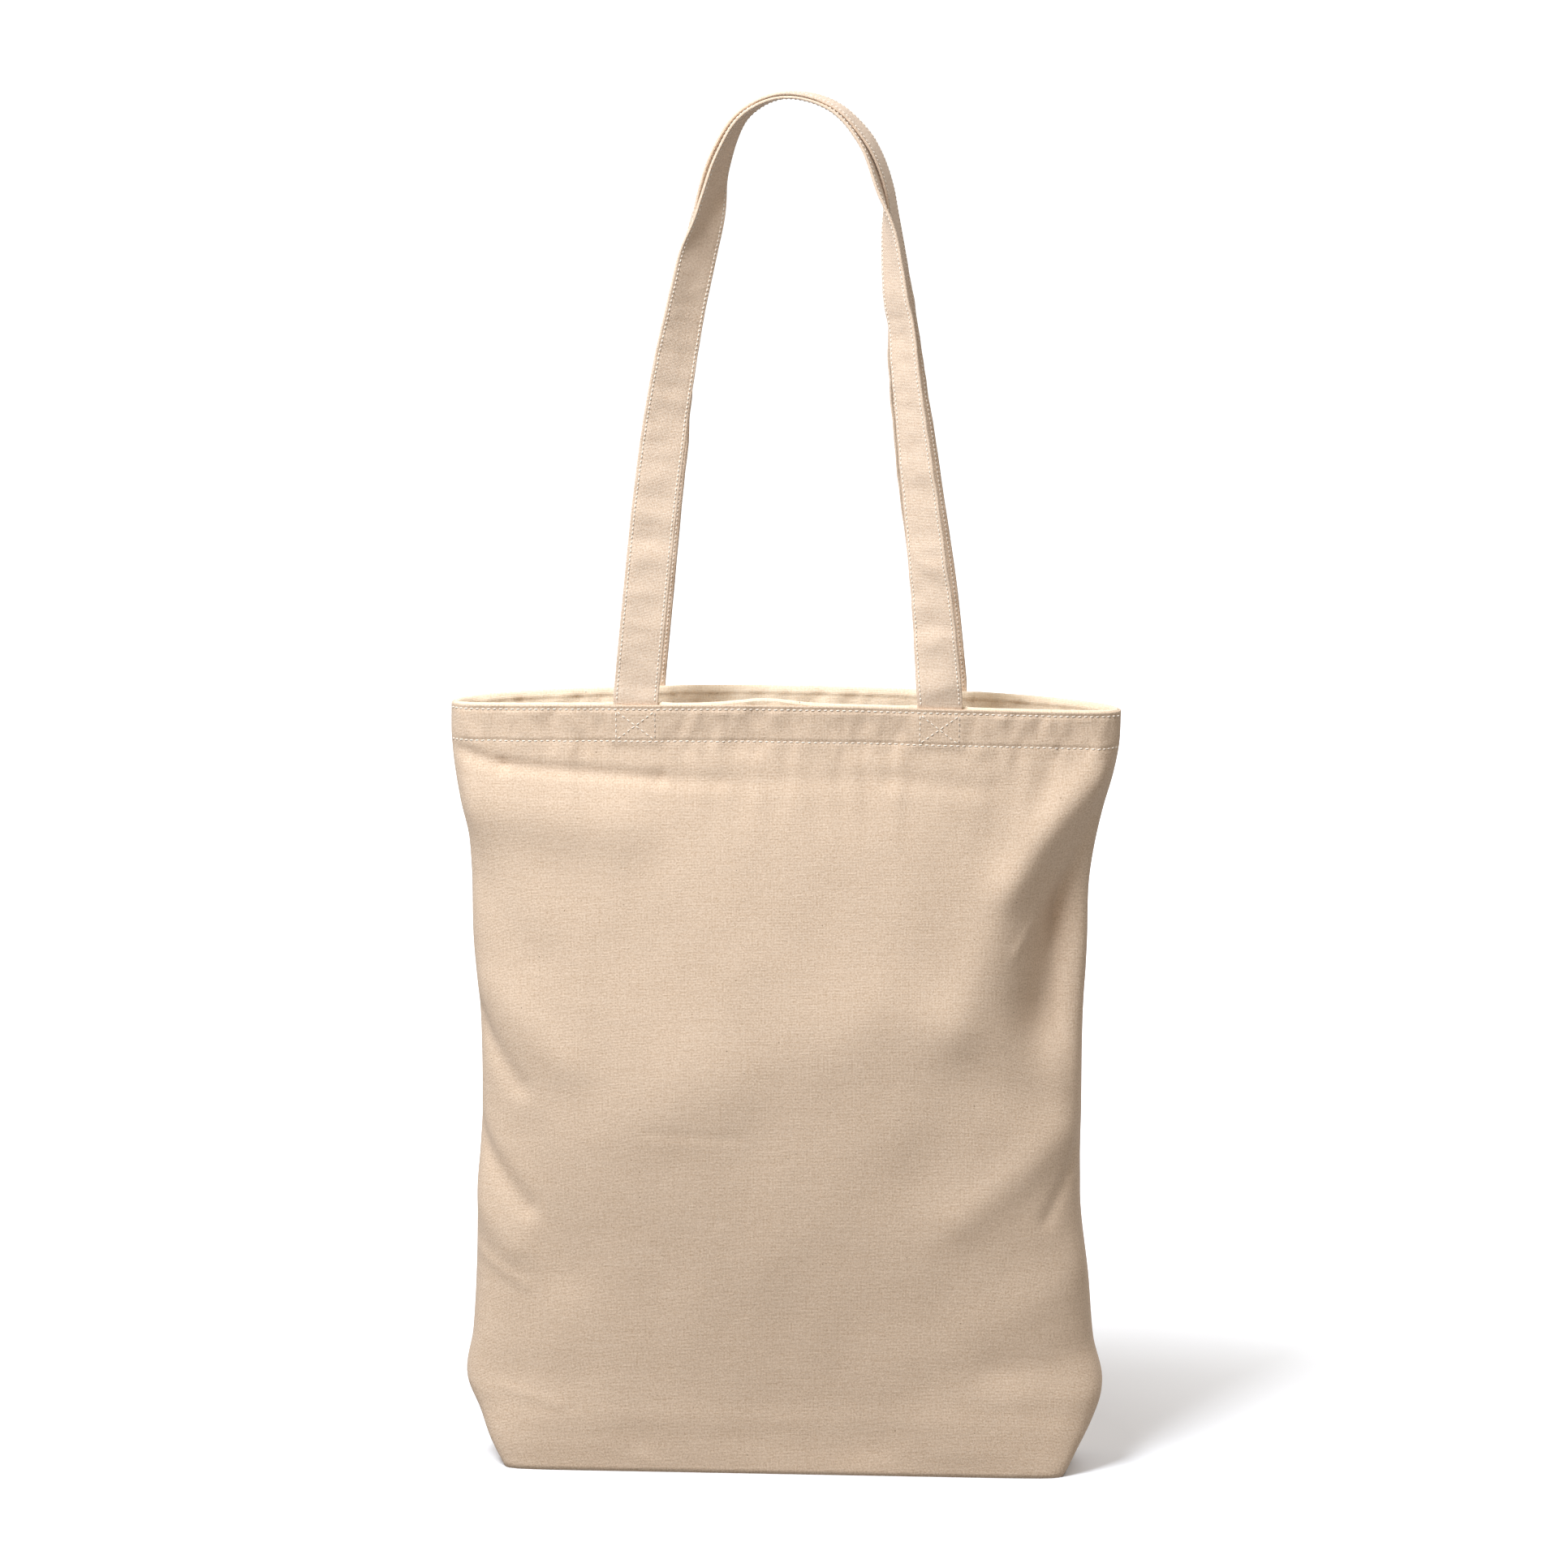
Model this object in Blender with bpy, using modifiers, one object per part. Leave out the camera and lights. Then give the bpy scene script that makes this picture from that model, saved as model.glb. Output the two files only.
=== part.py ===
"""A canvas tote bag with two long handles, standing open on its boxed base.

Metres, +Z up. The origin is the middle of the base, on the floor. The front panel faces -Y.
"""

import math

import bmesh
import bpy
import numpy as np
from mathutils import Vector

FRONT, BACK = -1, 1
LEFT, RIGHT = -1, 1

# Cloth
CLOTH = 0.0008
GAP = 0.0004
THREAD_RADIUS = 0.0003

# Body of the bag. Each panel is cut 2 * HALF_CLOTH wide between its seams.
HALF_CLOTH = 0.1875
RIM_HEIGHT = 0.436
CORNER_DROOP = 0.0055
BASE_HALF_WIDTH = 0.155
BASE_HALF_DEPTH = 0.032
BASE_EDGE_RADIUS = 0.004
WIDEST_HEIGHT = 0.046
BODY_SECTIONS = (
    # height, half width, half depth, squareness: 2 is an ellipse, more is nearer a rectangle
    (0.000, BASE_HALF_WIDTH, BASE_HALF_DEPTH, 14.0),
    (WIDEST_HEIGHT, 0.177, 0.034, 3.4),
    (0.110, 0.170, 0.041, 2.7),
    (0.210, 0.1665, 0.046, 2.5),
    (0.320, 0.1705, 0.041, 2.4),
    (0.390, 0.1805, 0.033, 2.4),
    (RIM_HEIGHT, 0.185, 0.028, 2.4),
)
SECTION_SAMPLES = 200
SLOPE_STEP = 0.01
ROWS_ABOVE_WIDEST = 12
ROWS_BELOW_WIDEST = 4
FRONT_COLUMNS = 23
GUSSET_COLUMNS = 4

# Hem at the mouth: a band of facing inside each panel, with the strap ends between the two
HEM_DEPTH = 0.022
HEM_THICKNESS = 2 * CLOTH + GAP
UPPER_STITCH_DROP = 0.0025
LOWER_STITCH_DROP = 0.0205

# Seams: the slit between the panels' edges, and the allowances inside the bag
SEAM_SLIT = 0.0016
SEAM_WIDTH = 0.009
SEAM_THICKNESS = 0.002
CORNER_SEAM_CLEARANCE = 0.008

# Handles
STRAP_WIDTH = 0.025
STRAP_THICKNESS = 0.0018
STRAP_AT = 0.44
STRAP_INSET = CLOTH + GAP + STRAP_THICKNESS / 2
STRAP_END_ROWS = 4
FACING_BULGE_REACH = STRAP_WIDTH / 2 + 0.005
FACING_BULGE_FADE = 0.010
EDGE_STITCH_INSET = 0.002
BOX_CLEARANCE = 0.001
HANDLE_START = 0.0032
HANDLE_NEST = 0.005
SHOULDER_NEST = 0.0045
HANDLE_SAMPLES = 72
TANGENT_STEP = 0.01
HANDLE_ROUTE = (
    # x, rise above the rim, twist of the front strap, twist of the back strap (degrees)
    (-0.0825, 0.000, -3, -3),
    (-0.0785, 0.050, 0, 0),
    (-0.0705, 0.119, 2, 8),
    (-0.0620, 0.175, 22, 34),
    (-0.0510, 0.234, 37, 70),
    (-0.0430, 0.272, 48, 88),
    (-0.0345, 0.302, 70, 90),
    (-0.0200, 0.324, 86, 90),
    (0.0000, 0.331, 90, 90),
    (0.0220, 0.327, 90, 90),
    (0.0400, 0.309, 84, 90),
    (0.0530, 0.278, 77, 88),
    (0.0600, 0.234, 63, 72),
    (0.0670, 0.175, 53, 42),
    (0.0740, 0.119, 44, 20),
    (0.0810, 0.050, 26, 6),
    (0.0825, 0.000, -3, -3),
)

CANVAS_COLOUR = (0.78, 0.65, 0.51, 1.0)
STRAP_COLOUR = (0.75, 0.61, 0.46, 1.0)
THREAD_COLOUR = (0.88, 0.82, 0.72, 1.0)


def start_scene():
    """Empties the scene and returns the collection that holds the bag."""
    for old in list(bpy.data.objects):
        bpy.data.objects.remove(old)
    bag = bpy.data.collections.new("canvas_tote_bag")
    bpy.context.scene.collection.children.link(bag)
    return bag


def fabric(name, colour, roughness):
    material = bpy.data.materials.new(name)
    material.use_nodes = True
    shader = material.node_tree.nodes["Principled BSDF"]
    shader.inputs["Base Color"].default_value = colour
    shader.inputs["Roughness"].default_value = roughness
    shader.inputs["Metallic"].default_value = 0.0
    return material


def finish_piece(piece, colour, roughness=0.9):
    """Gives a piece its own fabric and puts it in the bag's collection."""
    piece.data.materials.append(fabric(piece.name, colour, roughness))
    bpy.data.collections["canvas_tote_bag"].objects.link(piece)
    return piece


# --- Smooth curves ---


def curve_through(stations, spaced_by):
    """A function from 0 to 1 along the smooth curve through these stations, whose first spaced_by
    values set the distance between them."""
    knots = np.array(stations, float)
    steps = np.linalg.norm(np.diff(knots[:, :spaced_by], axis=0), axis=1)
    along = np.concatenate([[0.0], np.cumsum(steps)]) / steps.sum()
    slopes = np.gradient(knots, along, axis=0)

    def at(where):
        i = int(np.clip(np.searchsorted(along, where) - 1, 0, len(along) - 2))
        span = along[i + 1] - along[i]
        t = (where - along[i]) / span
        start, end = (1 + 2 * t) * (1 - t) ** 2, t * t * (3 - 2 * t)
        rise, fall = t * (1 - t) ** 2 * span, t * t * (t - 1) * span
        return start * knots[i] + end * knots[i + 1] + rise * slopes[i] + fall * slopes[i + 1]

    return at


BODY_CURVE = curve_through(BODY_SECTIONS, spaced_by=1)


# --- The body's surface ---


def section_line(height):
    """Points (x, y) of the bag's outline at this height, from the front's middle to the right seam."""
    _, half_width, half_depth, squareness = BODY_CURVE(height / RIM_HEIGHT)
    turn = np.linspace(0.0, math.pi / 2, SECTION_SAMPLES)
    x = half_width * np.sin(turn) ** (2 / squareness)
    y = half_depth * np.cos(turn) ** (2 / squareness)
    return np.stack([x, y], axis=1)


def body_point(side, across, height):
    """A point on the outside of a panel. across runs from -1 at the left seam to 1 at the right one,
    in equal steps of cloth. The rim droops towards its corners."""
    line = section_line(height)
    lengths = np.linalg.norm(np.diff(line, axis=0), axis=1)
    along = np.concatenate([[0.0], np.cumsum(lengths)]) / lengths.sum()
    x = np.interp(abs(across), along, line[:, 0]) * math.copysign(1, across)
    y = np.interp(abs(across), along, line[:, 1])
    droop = CORNER_DROOP * across**2 * (height / RIM_HEIGHT) ** 2
    return Vector((x, side * max(y, SEAM_SLIT / 2), height - droop))


def outward(side, across, height):
    """The panel's outward direction at this point."""
    right, left = (body_point(side, across + k * SLOPE_STEP, height) for k in (1, -1))
    up = body_point(side, across, height) - body_point(side, across, height - SLOPE_STEP)
    return ((right - left).cross(up) * -side).normalized()


def off_panel(side, across, height, lift):
    """A point that stands lift outside the panel's outer face, or inside it where lift is negative.
    It stays on the panel's own side of the seams."""
    point = body_point(side, across, height) + outward(side, across, height) * lift
    point.y = side * max(side * point.y, SEAM_SLIT / 2)
    return point


# --- Solids ---


def object_from(name, bm):
    mesh = bpy.data.meshes.new(name)
    bmesh.ops.remove_doubles(bm, verts=bm.verts, dist=1e-6)
    bmesh.ops.recalc_face_normals(bm, faces=bm.faces)
    bm.to_mesh(mesh)
    bm.free()
    mesh.shade_smooth()
    mesh.set_sharp_from_angle(angle=math.radians(40))
    return bpy.data.objects.new(name, mesh)


def solidify(piece, thickness, offset):
    shell = piece.modifiers.new("thickness", "SOLIDIFY")
    shell.thickness = thickness
    shell.offset = offset
    shell.use_even_offset = True


def sheet_faces(bm, rows, flip):
    """Joins rows of points, which all have the same length, into one open surface."""
    grid = [[bm.verts.new(point) for point in row] for row in rows]
    for above, below in zip(grid, grid[1:]):
        for k in range(len(above) - 1):
            corners = [above[k], below[k], below[k + 1], above[k + 1]]
            bm.faces.new(corners[::-1] if flip else corners)


def cloth_columns():
    """Where the panel's columns of points lie across it: the face, then a gusset at each side."""
    corner = BASE_HALF_WIDTH / HALF_CLOTH
    face = np.linspace(-corner, corner, FRONT_COLUMNS)
    gusset = np.linspace(corner, 1.0, GUSSET_COLUMNS)[1:]
    return np.concatenate([-gusset[::-1], face, gusset])


def hem_heights():
    """Heights of the rows of points in the hem, from the rim down to the facing's lower edge."""
    return [RIM_HEIGHT, RIM_HEIGHT - HEM_DEPTH / 2, RIM_HEIGHT - HEM_DEPTH]


def body_heights():
    """Heights of the rows of points below the hem, down to the base's edge."""
    above = np.linspace(RIM_HEIGHT - HEM_DEPTH, WIDEST_HEIGHT, ROWS_ABOVE_WIDEST)[1:]
    below = np.linspace(WIDEST_HEIGHT, BASE_EDGE_RADIUS, ROWS_BELOW_WIDEST)[1:]
    return [*above, *below]


def base_rows(foot):
    """Rows of the panel's half of the base. Their ends lie on the gussets' feet, where the T-seams
    join the two."""
    corner = GUSSET_COLUMNS - 1
    rows = [foot[corner:-corner]]
    for k in range(1, GUSSET_COLUMNS):
        left, right = foot[corner - k], foot[k - GUSSET_COLUMNS]
        rows.append([left.lerp(right, t) for t in np.linspace(0.0, 1.0, FRONT_COLUMNS)])
    return rows


def panel(name, side):
    """One canvas panel: from the rim down the body and in under the base."""
    columns = cloth_columns()
    heights = hem_heights() + body_heights()
    bm = bmesh.new()
    rows = [[body_point(side, c, height) for c in columns] for height in heights]
    foot = [body_point(side, c, 0.0) for c in columns]
    sheet_faces(bm, rows + [foot], side == BACK)
    sheet_faces(bm, base_rows(foot), side == BACK)
    piece = object_from(name, bm)
    solidify(piece, CLOTH, -1)
    return finish_piece(piece, CANVAS_COLOUR)


def facing_inset(across):
    """How far the facing's outer face lies inside the panel's: more where a strap end is between."""
    from_strap = abs(abs(across) - STRAP_AT) * HALF_CLOTH
    bulge = min(max((FACING_BULGE_REACH + FACING_BULGE_FADE - from_strap) / FACING_BULGE_FADE, 0.0), 1.0)
    return CLOTH + GAP + bulge * (STRAP_THICKNESS + GAP)


def facing(name, side):
    """The band of canvas inside the mouth that closes the hem."""
    bm = bmesh.new()
    columns = cloth_columns()
    rows = [[off_panel(side, c, z, -facing_inset(c)) for c in columns] for z in hem_heights()]
    sheet_faces(bm, rows, side == BACK)
    piece = object_from(name, bm)
    solidify(piece, CLOTH, -1)
    return finish_piece(piece, CANVAS_COLOUR)


def ribbon(name, centres, across, width, thickness, colour):
    """A flat strap through these centres, lying along the across directions."""
    bm = bmesh.new()
    rows = [[c + a * width * k for k in (-0.5, 0.0, 0.5)] for c, a in zip(centres, across)]
    sheet_faces(bm, rows, False)
    piece = object_from(name, bm)
    solidify(piece, thickness, 0)
    return finish_piece(piece, colour)


def thread(name, points):
    """A sewing thread through these points."""
    curve = bpy.data.curves.new(name, "CURVE")
    curve.dimensions = "3D"
    curve.bevel_depth = THREAD_RADIUS
    curve.bevel_resolution = 0
    curve.use_fill_caps = True
    line = curve.splines.new("POLY")
    line.points.add(len(points) - 1)
    for knot, point in zip(line.points, points):
        knot.co = (*point, 1.0)
    return finish_piece(bpy.data.objects.new(name, curve), THREAD_COLOUR, 0.7)


# --- Sewing ---


def hem_stitching(name, side, drop):
    lift = GAP + THREAD_RADIUS
    spots = cloth_columns()[1:-1]
    return thread(name, [off_panel(side, s, RIM_HEIGHT - drop, lift) for s in spots])


def outline(curve, corners):
    line = curve.splines.new("POLY")
    line.points.add(len(corners) - 1)
    for knot, (x, y) in zip(line.points, corners):
        knot.co = (x, y, 0.0, 1.0)
    line.use_cyclic_u = True


def box_stitching(name, side, end):
    """The box with a cross that holds one strap end: a flat frame with four windows."""
    half_width = STRAP_WIDTH / 2 - EDGE_STITCH_INSET
    half_height = (LOWER_STITCH_DROP - UPPER_STITCH_DROP) / 2 - BOX_CLEARANCE
    line = 2 * THREAD_RADIUS
    curve = bpy.data.curves.new(name, "CURVE")
    curve.dimensions = "2D"
    curve.fill_mode = "BOTH"
    curve.extrude = THREAD_RADIUS
    w, h = half_width, half_height
    outline(curve, [(-w, -h), (w, -h), (w, h), (-w, h)])
    slant = math.hypot(w, h)
    side_gap, end_gap = line / 2 * slant / h, line / 2 * slant / w
    w, h = half_width - line, half_height - line
    for s in (-1, 1):
        reach = h - end_gap
        outline(curve, [(-w * reach / h * s, h * s), (w * reach / h * s, h * s), (0.0, end_gap * s)])
        reach = w - side_gap
        outline(curve, [(w * s, h * reach / w * s), (w * s, -h * reach / w * s), (side_gap * s, 0.0)])
    flat = bpy.data.objects.new(name, curve)
    at = STRAP_AT * end
    middle_drop = (UPPER_STITCH_DROP + LOWER_STITCH_DROP) / 2
    height = RIM_HEIGHT - middle_drop
    flat.location = off_panel(side, at, height, 2 * GAP + THREAD_RADIUS)
    flat.rotation_mode = "QUATERNION"
    flat.rotation_quaternion = outward(side, at, height).to_track_quat("Z", "Y")
    return finish_piece(flat, THREAD_COLOUR, 0.7)


def side_seam(name, end):
    """The overlocked allowance of a side seam, standing in from the seam inside the bag."""
    heights = [z for z in hem_heights() + body_heights() if z > SEAM_WIDTH + 3 * GAP]
    inset = HEM_THICKNESS + GAP + SEAM_WIDTH / 2
    edge = [body_point(FRONT, end, z) for z in heights]
    centres = [Vector((p.x - end * inset, 0.0, p.z)) for p in edge]
    across = [Vector((1.0, 0.0, 0.0))] * len(centres)
    return ribbon(name, centres, across, SEAM_WIDTH, SEAM_THICKNESS, THREAD_COLOUR)


def seam_strip(name, size, place):
    """A straight overlocked allowance, given by its size and its middle."""
    bm = bmesh.new()
    bmesh.ops.create_cube(bm, size=1.0)
    bmesh.ops.scale(bm, vec=size, verts=bm.verts)
    piece = object_from(name, bm)
    piece.location = place
    return finish_piece(piece, THREAD_COLOUR)


def bottom_seam():
    length = 2 * (BASE_HALF_WIDTH - CLOTH - SEAM_THICKNESS - 6 * GAP)
    rise = CLOTH + GAP + SEAM_THICKNESS / 2
    return seam_strip("bottom_seam", (length, SEAM_WIDTH, SEAM_THICKNESS), (0.0, 0.0, rise))


def corner_seam(name, end):
    length = 2 * (BASE_HALF_DEPTH - CORNER_SEAM_CLEARANCE)
    size = (SEAM_THICKNESS, length, SEAM_WIDTH)
    inset = CLOTH + 3 * GAP + SEAM_THICKNESS / 2
    rise = CLOTH + 2 * GAP + SEAM_WIDTH / 2
    return seam_strip(name, size, (end * (BASE_HALF_WIDTH - inset), 0.0, rise))


# --- Handles ---


def strap_end(name, side, end):
    """A strap's sewn end, between the panel and its facing, up to just past the rim."""
    at = STRAP_AT * end
    half = STRAP_WIDTH / 2 / HALF_CLOTH
    bm = bmesh.new()
    rows = []
    low, high = RIM_HEIGHT - LOWER_STITCH_DROP, RIM_HEIGHT + HANDLE_START - GAP
    for height in np.linspace(low, high, STRAP_END_ROWS):
        below = min(height, RIM_HEIGHT)
        row = [off_panel(side, at + half * k, below, -STRAP_INSET) for k in (-1.0, 0.0, 1.0)]
        rows.append([p + Vector((0.0, 0.0, height - below)) for p in row])
    sheet_faces(bm, rows, False)
    piece = object_from(name, bm)
    solidify(piece, STRAP_THICKNESS, 0)
    return finish_piece(piece, STRAP_COLOUR)


def handle_frames(side):
    """Points along a handle from its left end to its right one, each with the direction across the
    strap and the one out of its outer face. The handles lean together, and over the arch the front
    strap lies under the back one."""
    foot = off_panel(side, STRAP_AT, RIM_HEIGHT, -STRAP_INSET).y
    route = curve_through(HANDLE_ROUTE, spaced_by=2)
    top = max(rise for _, rise, _, _ in HANDLE_ROUTE)
    frames = []
    for i in range(HANDLE_SAMPLES):
        where = i / (HANDLE_SAMPLES - 1)
        here = route(where)
        ahead, behind = route(min(where + TANGENT_STEP, 1.0)), route(max(where - TANGENT_STEP, 0.0))
        tangent = Vector((ahead[0] - behind[0], 0.0, ahead[1] - behind[1])).normalized()
        outer = Vector((-tangent.z, 0.0, tangent.x))
        share = min(max(here[1] / top, 0.0), 1.0)
        nest = 0.0
        if side == BACK:
            nest = HANDLE_NEST * share**2 + SHOULDER_NEST * math.sin(math.pi * share**2) ** 2
        rise = HANDLE_START + here[1] * (1 - HANDLE_START / top)
        centre = Vector((here[0], foot * (1 - share), RIM_HEIGHT + rise)) + outer * nest
        twist = math.radians(here[2] if side == FRONT else here[3])
        across = outer * math.cos(twist) + Vector((0.0, side * math.sin(twist), 0.0))
        face = tangent.cross(across) * -side
        frames.append((centre, across.normalized(), face.normalized()))
    return frames


def handle_loop(name, side):
    frames = handle_frames(side)
    centres = [centre for centre, _, _ in frames]
    across = [direction for _, direction, _ in frames]
    return ribbon(name, centres, across, STRAP_WIDTH, STRAP_THICKNESS, STRAP_COLOUR)


def edge_stitching(name, side, edge):
    """The row of stitches along one edge of a handle, on its outer face."""
    offset = edge * (STRAP_WIDTH / 2 - EDGE_STITCH_INSET)
    lift = STRAP_THICKNESS / 2 + GAP + THREAD_RADIUS
    frames = handle_frames(side)[1:-1]
    return thread(name, [c + across * offset + face * lift for c, across, face in frames])


def build():
    start_scene()
    for word, side in (("front", FRONT), ("back", BACK)):
        panel(f"{word}_panel", side)
        facing(f"{word}_facing", side)
        hem_stitching(f"{word}_hem_upper_stitching", side, UPPER_STITCH_DROP)
        hem_stitching(f"{word}_hem_lower_stitching", side, LOWER_STITCH_DROP)
        handle_loop(f"{word}_handle_loop", side)
        edge_stitching(f"{word}_handle_outer_stitching", side, 1)
        edge_stitching(f"{word}_handle_inner_stitching", side, -1)
        for end_word, end in (("left", LEFT), ("right", RIGHT)):
            strap_end(f"{word}_handle_{end_word}_end", side, end)
            box_stitching(f"{word}_{end_word}_box_stitching", side, end)
    for end_word, end in (("left", LEFT), ("right", RIGHT)):
        side_seam(f"{end_word}_side_seam", end)
        corner_seam(f"{end_word}_corner_seam", end)
    bottom_seam()


build()
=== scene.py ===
"""The looks of a canvas tote bag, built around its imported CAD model.

Metres, +Z up, in the frame of the CAD: the front panel faces -Y and the bag stands on z = 0.
"""

import math

import bpy
import numpy as np
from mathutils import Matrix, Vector, noise


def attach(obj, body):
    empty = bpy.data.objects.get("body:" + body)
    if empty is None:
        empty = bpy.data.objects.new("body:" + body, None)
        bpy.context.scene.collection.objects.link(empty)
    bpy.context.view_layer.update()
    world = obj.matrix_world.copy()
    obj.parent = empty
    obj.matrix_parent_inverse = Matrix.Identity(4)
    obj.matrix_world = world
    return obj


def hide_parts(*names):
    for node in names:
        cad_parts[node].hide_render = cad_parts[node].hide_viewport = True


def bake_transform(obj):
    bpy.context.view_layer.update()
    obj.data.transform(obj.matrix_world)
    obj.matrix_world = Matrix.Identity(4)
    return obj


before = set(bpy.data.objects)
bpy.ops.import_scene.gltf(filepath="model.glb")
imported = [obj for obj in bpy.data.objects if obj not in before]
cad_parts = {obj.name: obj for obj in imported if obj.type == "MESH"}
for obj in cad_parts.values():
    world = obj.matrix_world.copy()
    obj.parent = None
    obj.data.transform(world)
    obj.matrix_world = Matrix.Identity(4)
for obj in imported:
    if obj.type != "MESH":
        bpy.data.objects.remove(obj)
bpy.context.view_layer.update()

FRONT, BACK = -1, 1
LEFT, RIGHT = -1, 1

# Cloth and thread
CLOTH = 0.0008
YARN = 0.00062
THREAD_RADIUS = 0.00036
STITCH_SHARE = 0.70  # how much of the way between two needle holes a stitch covers
STITCH_RINGS, STITCH_SIDES = 7, 6
# how much thinner a stitch is at its ends, how deep they dip, and how high the rows lie: in thread radii
STITCH_THINNING, STITCH_DIP = 0.55, 1.7
HEM_STITCH_LIFT, STRAP_STITCH_LIFT, BOX_STITCH_LIFT = 0.7, 0.9, 0.5

# Body of the bag, measured to the outside of the cloth
HALF_CLOTH = 0.1875
RIM = 0.436
CORNER_DROOP = 0.0055
SEAM_SLIT = 0.0005
BASE_HALF_WIDTH = 0.155
BODY_SECTIONS = (
    # height, left half width, right half width, half depth, squareness (2 is an ellipse)
    (0.000, 0.1560, 0.1570, 0.0320, 14.0),
    (0.014, 0.1640, 0.1650, 0.0325, 9.0),
    (0.030, 0.1705, 0.1725, 0.0330, 5.0),
    (0.046, 0.1780, 0.1770, 0.0345, 3.4),
    (0.074, 0.1750, 0.1720, 0.0375, 3.0),
    (0.110, 0.1730, 0.1690, 0.0420, 2.7),
    (0.150, 0.1720, 0.1645, 0.0465, 2.6),
    (0.210, 0.1690, 0.1645, 0.0500, 2.5),
    (0.260, 0.1700, 0.1650, 0.0485, 2.5),
    (0.300, 0.1735, 0.1670, 0.0445, 2.4),
    (0.343, 0.1745, 0.1685, 0.0395, 2.4),
    (0.362, 0.1760, 0.1715, 0.0365, 2.4),
    (0.380, 0.1800, 0.1755, 0.0332, 2.4),
    (0.400, 0.1835, 0.1810, 0.0295, 2.4),
    (0.416, 0.1850, 0.1840, 0.0274, 2.4),
    (RIM, 0.1850, 0.1850, 0.0278, 2.4),
)
OUTLINE_SAMPLES = 300
NORMAL_STEP = 0.004
COLUMNS = 221
BODY_ROWS = 150
HEM_ROWS = 28
BASE_ROWS = 12

# Hem: the panel and its facing, both folded over at the rim, with the strap ends between them
HEM_DEPTH = 0.022
UPPER_STITCH_DROP = 0.0025
LOWER_STITCH_DROP = 0.0205
HEM_PITCH = 0.0034
HEM_STITCH_SLANT = math.radians(7)
STITCHES_FROM_SEAM = 0.004
ROW_SAMPLES = 250
BOX_PITCH = 0.0030
BOX_THREAD = 0.00031
BOX_CLEARANCE = 0.0008
BOX_SAMPLES = 12
BOX_RUN_INSET = 0.02  # as a share of a run of stitches, at both of its ends
FOLD_RADIUS = 0.0008
FOLD_ROWS = 7
LIP = 0.004
FACING_FROM_SEAM = 0.001
FACING_INSET = 0.0020
FACING_BULGE = 0.0021
FACING_BULGE_FADE = 0.006
FACING_RISE = 0.0024
FACING_RISE_AT, FACING_RISE_REACH = -0.009, 0.020
FACING_RISE_DEPTH = 0.016
FACING_RISE_LEAN = 0.6  # inwards, for each metre up

# Straps
STRAP_WIDTH = 0.025
STRAP_THICKNESS = 0.0018
STRAP_AT = {LEFT: -0.0786, RIGHT: 0.0841}
MEETING = 1.7  # how late the front and the back strap come together; 1 is in a straight line
STRAP_INSET = 0.0027
HANDLE_FOOT_INSET = 0.0021
STRAP_END_DROP = 0.0195
STRAP_END_ROWS = 14
EDGE_STITCH_INSET = 0.0020
EDGE_PITCH = 0.0025
STITCH_SUNK, STITCH_SUNK_HALF_WIDTH = 0.00030, 0.0009
EDGE_STITCHES_START = 0.002
EDGE_STIFFNESS = 0.3  # how much less the strap's edges bend than its middle
END_FADE = 0.012
SHOULDER_AT = 0.372  # as a share of the strap's length
SHOULDER_REACH = 0.040
SHOULDER_SLANT = 1.1
TOGETHER_REACH = 0.155
TOGETHER_FADE = 0.045
TOGETHER_HOLD = 0.8
HANDLE_START = 0.0032
STRAP_SAMPLES = 460
STRAP_SMOOTHING = 6
TANGENT_STEP = 0.01
PROFILE_SAMPLES, PROFILE_EDGE_SAMPLES = 23, 6
HANDLE_ROUTE = (
    # x, rise above the rim, twist of the front strap, twist of the back strap (degrees),
    # how far the back strap lies outside the front one
    (-0.0797, 0.000, -3, -3, 0.0000),
    (-0.0760, 0.050, 0, 0, 0.0000),
    (-0.0700, 0.110, 2, 8, 0.0000),
    (-0.0613, 0.175, 22, 34, 0.0005),
    (-0.0500, 0.234, 36, 66, 0.0045),
    (-0.0452, 0.256, 39, 82, 0.0068),
    (-0.0402, 0.278, 62, 90, 0.0070),
    (-0.0342, 0.299, 71, 94, 0.0052),
    (-0.0215, 0.3225, 80, 96, 0.0026),
    (-0.0020, 0.3320, 83, 97, 0.0020),
    (0.0225, 0.3275, 86, 92, 0.0022),
    (0.0415, 0.3090, 91, 86, 0.0028),
    (0.0530, 0.2800, 94, 85, 0.0031),
    (0.0565, 0.2620, 72, 82, 0.0022),
    (0.0590, 0.2400, 60, 74, 0.0018),
    (0.0662, 0.1850, 50, 46, -0.0014),
    (0.0755, 0.1100, 36, 20, -0.0022),
    (0.0822, 0.0500, 22, 6, -0.0008),
    (0.0853, 0.0000, -3, -3, 0.0000),
)

# Seam allowances inside the bag
SEAM_WIDTH = 0.009
SEAM_THICKNESS = 0.0018
SEAM_WAVE, SEAM_WAVE_SIZE = 0.0008, 0.018
SEAM_FOOT = 0.013
CORNER_SEAM_REACH = 0.024
CORNER_SEAM_LIFT = 0.0012
CORNER_SEAM_INSET = 0.003
BOTTOM_SEAM_REACH = 0.1485
BOTTOM_SEAM_LIFT = 0.0024
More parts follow.
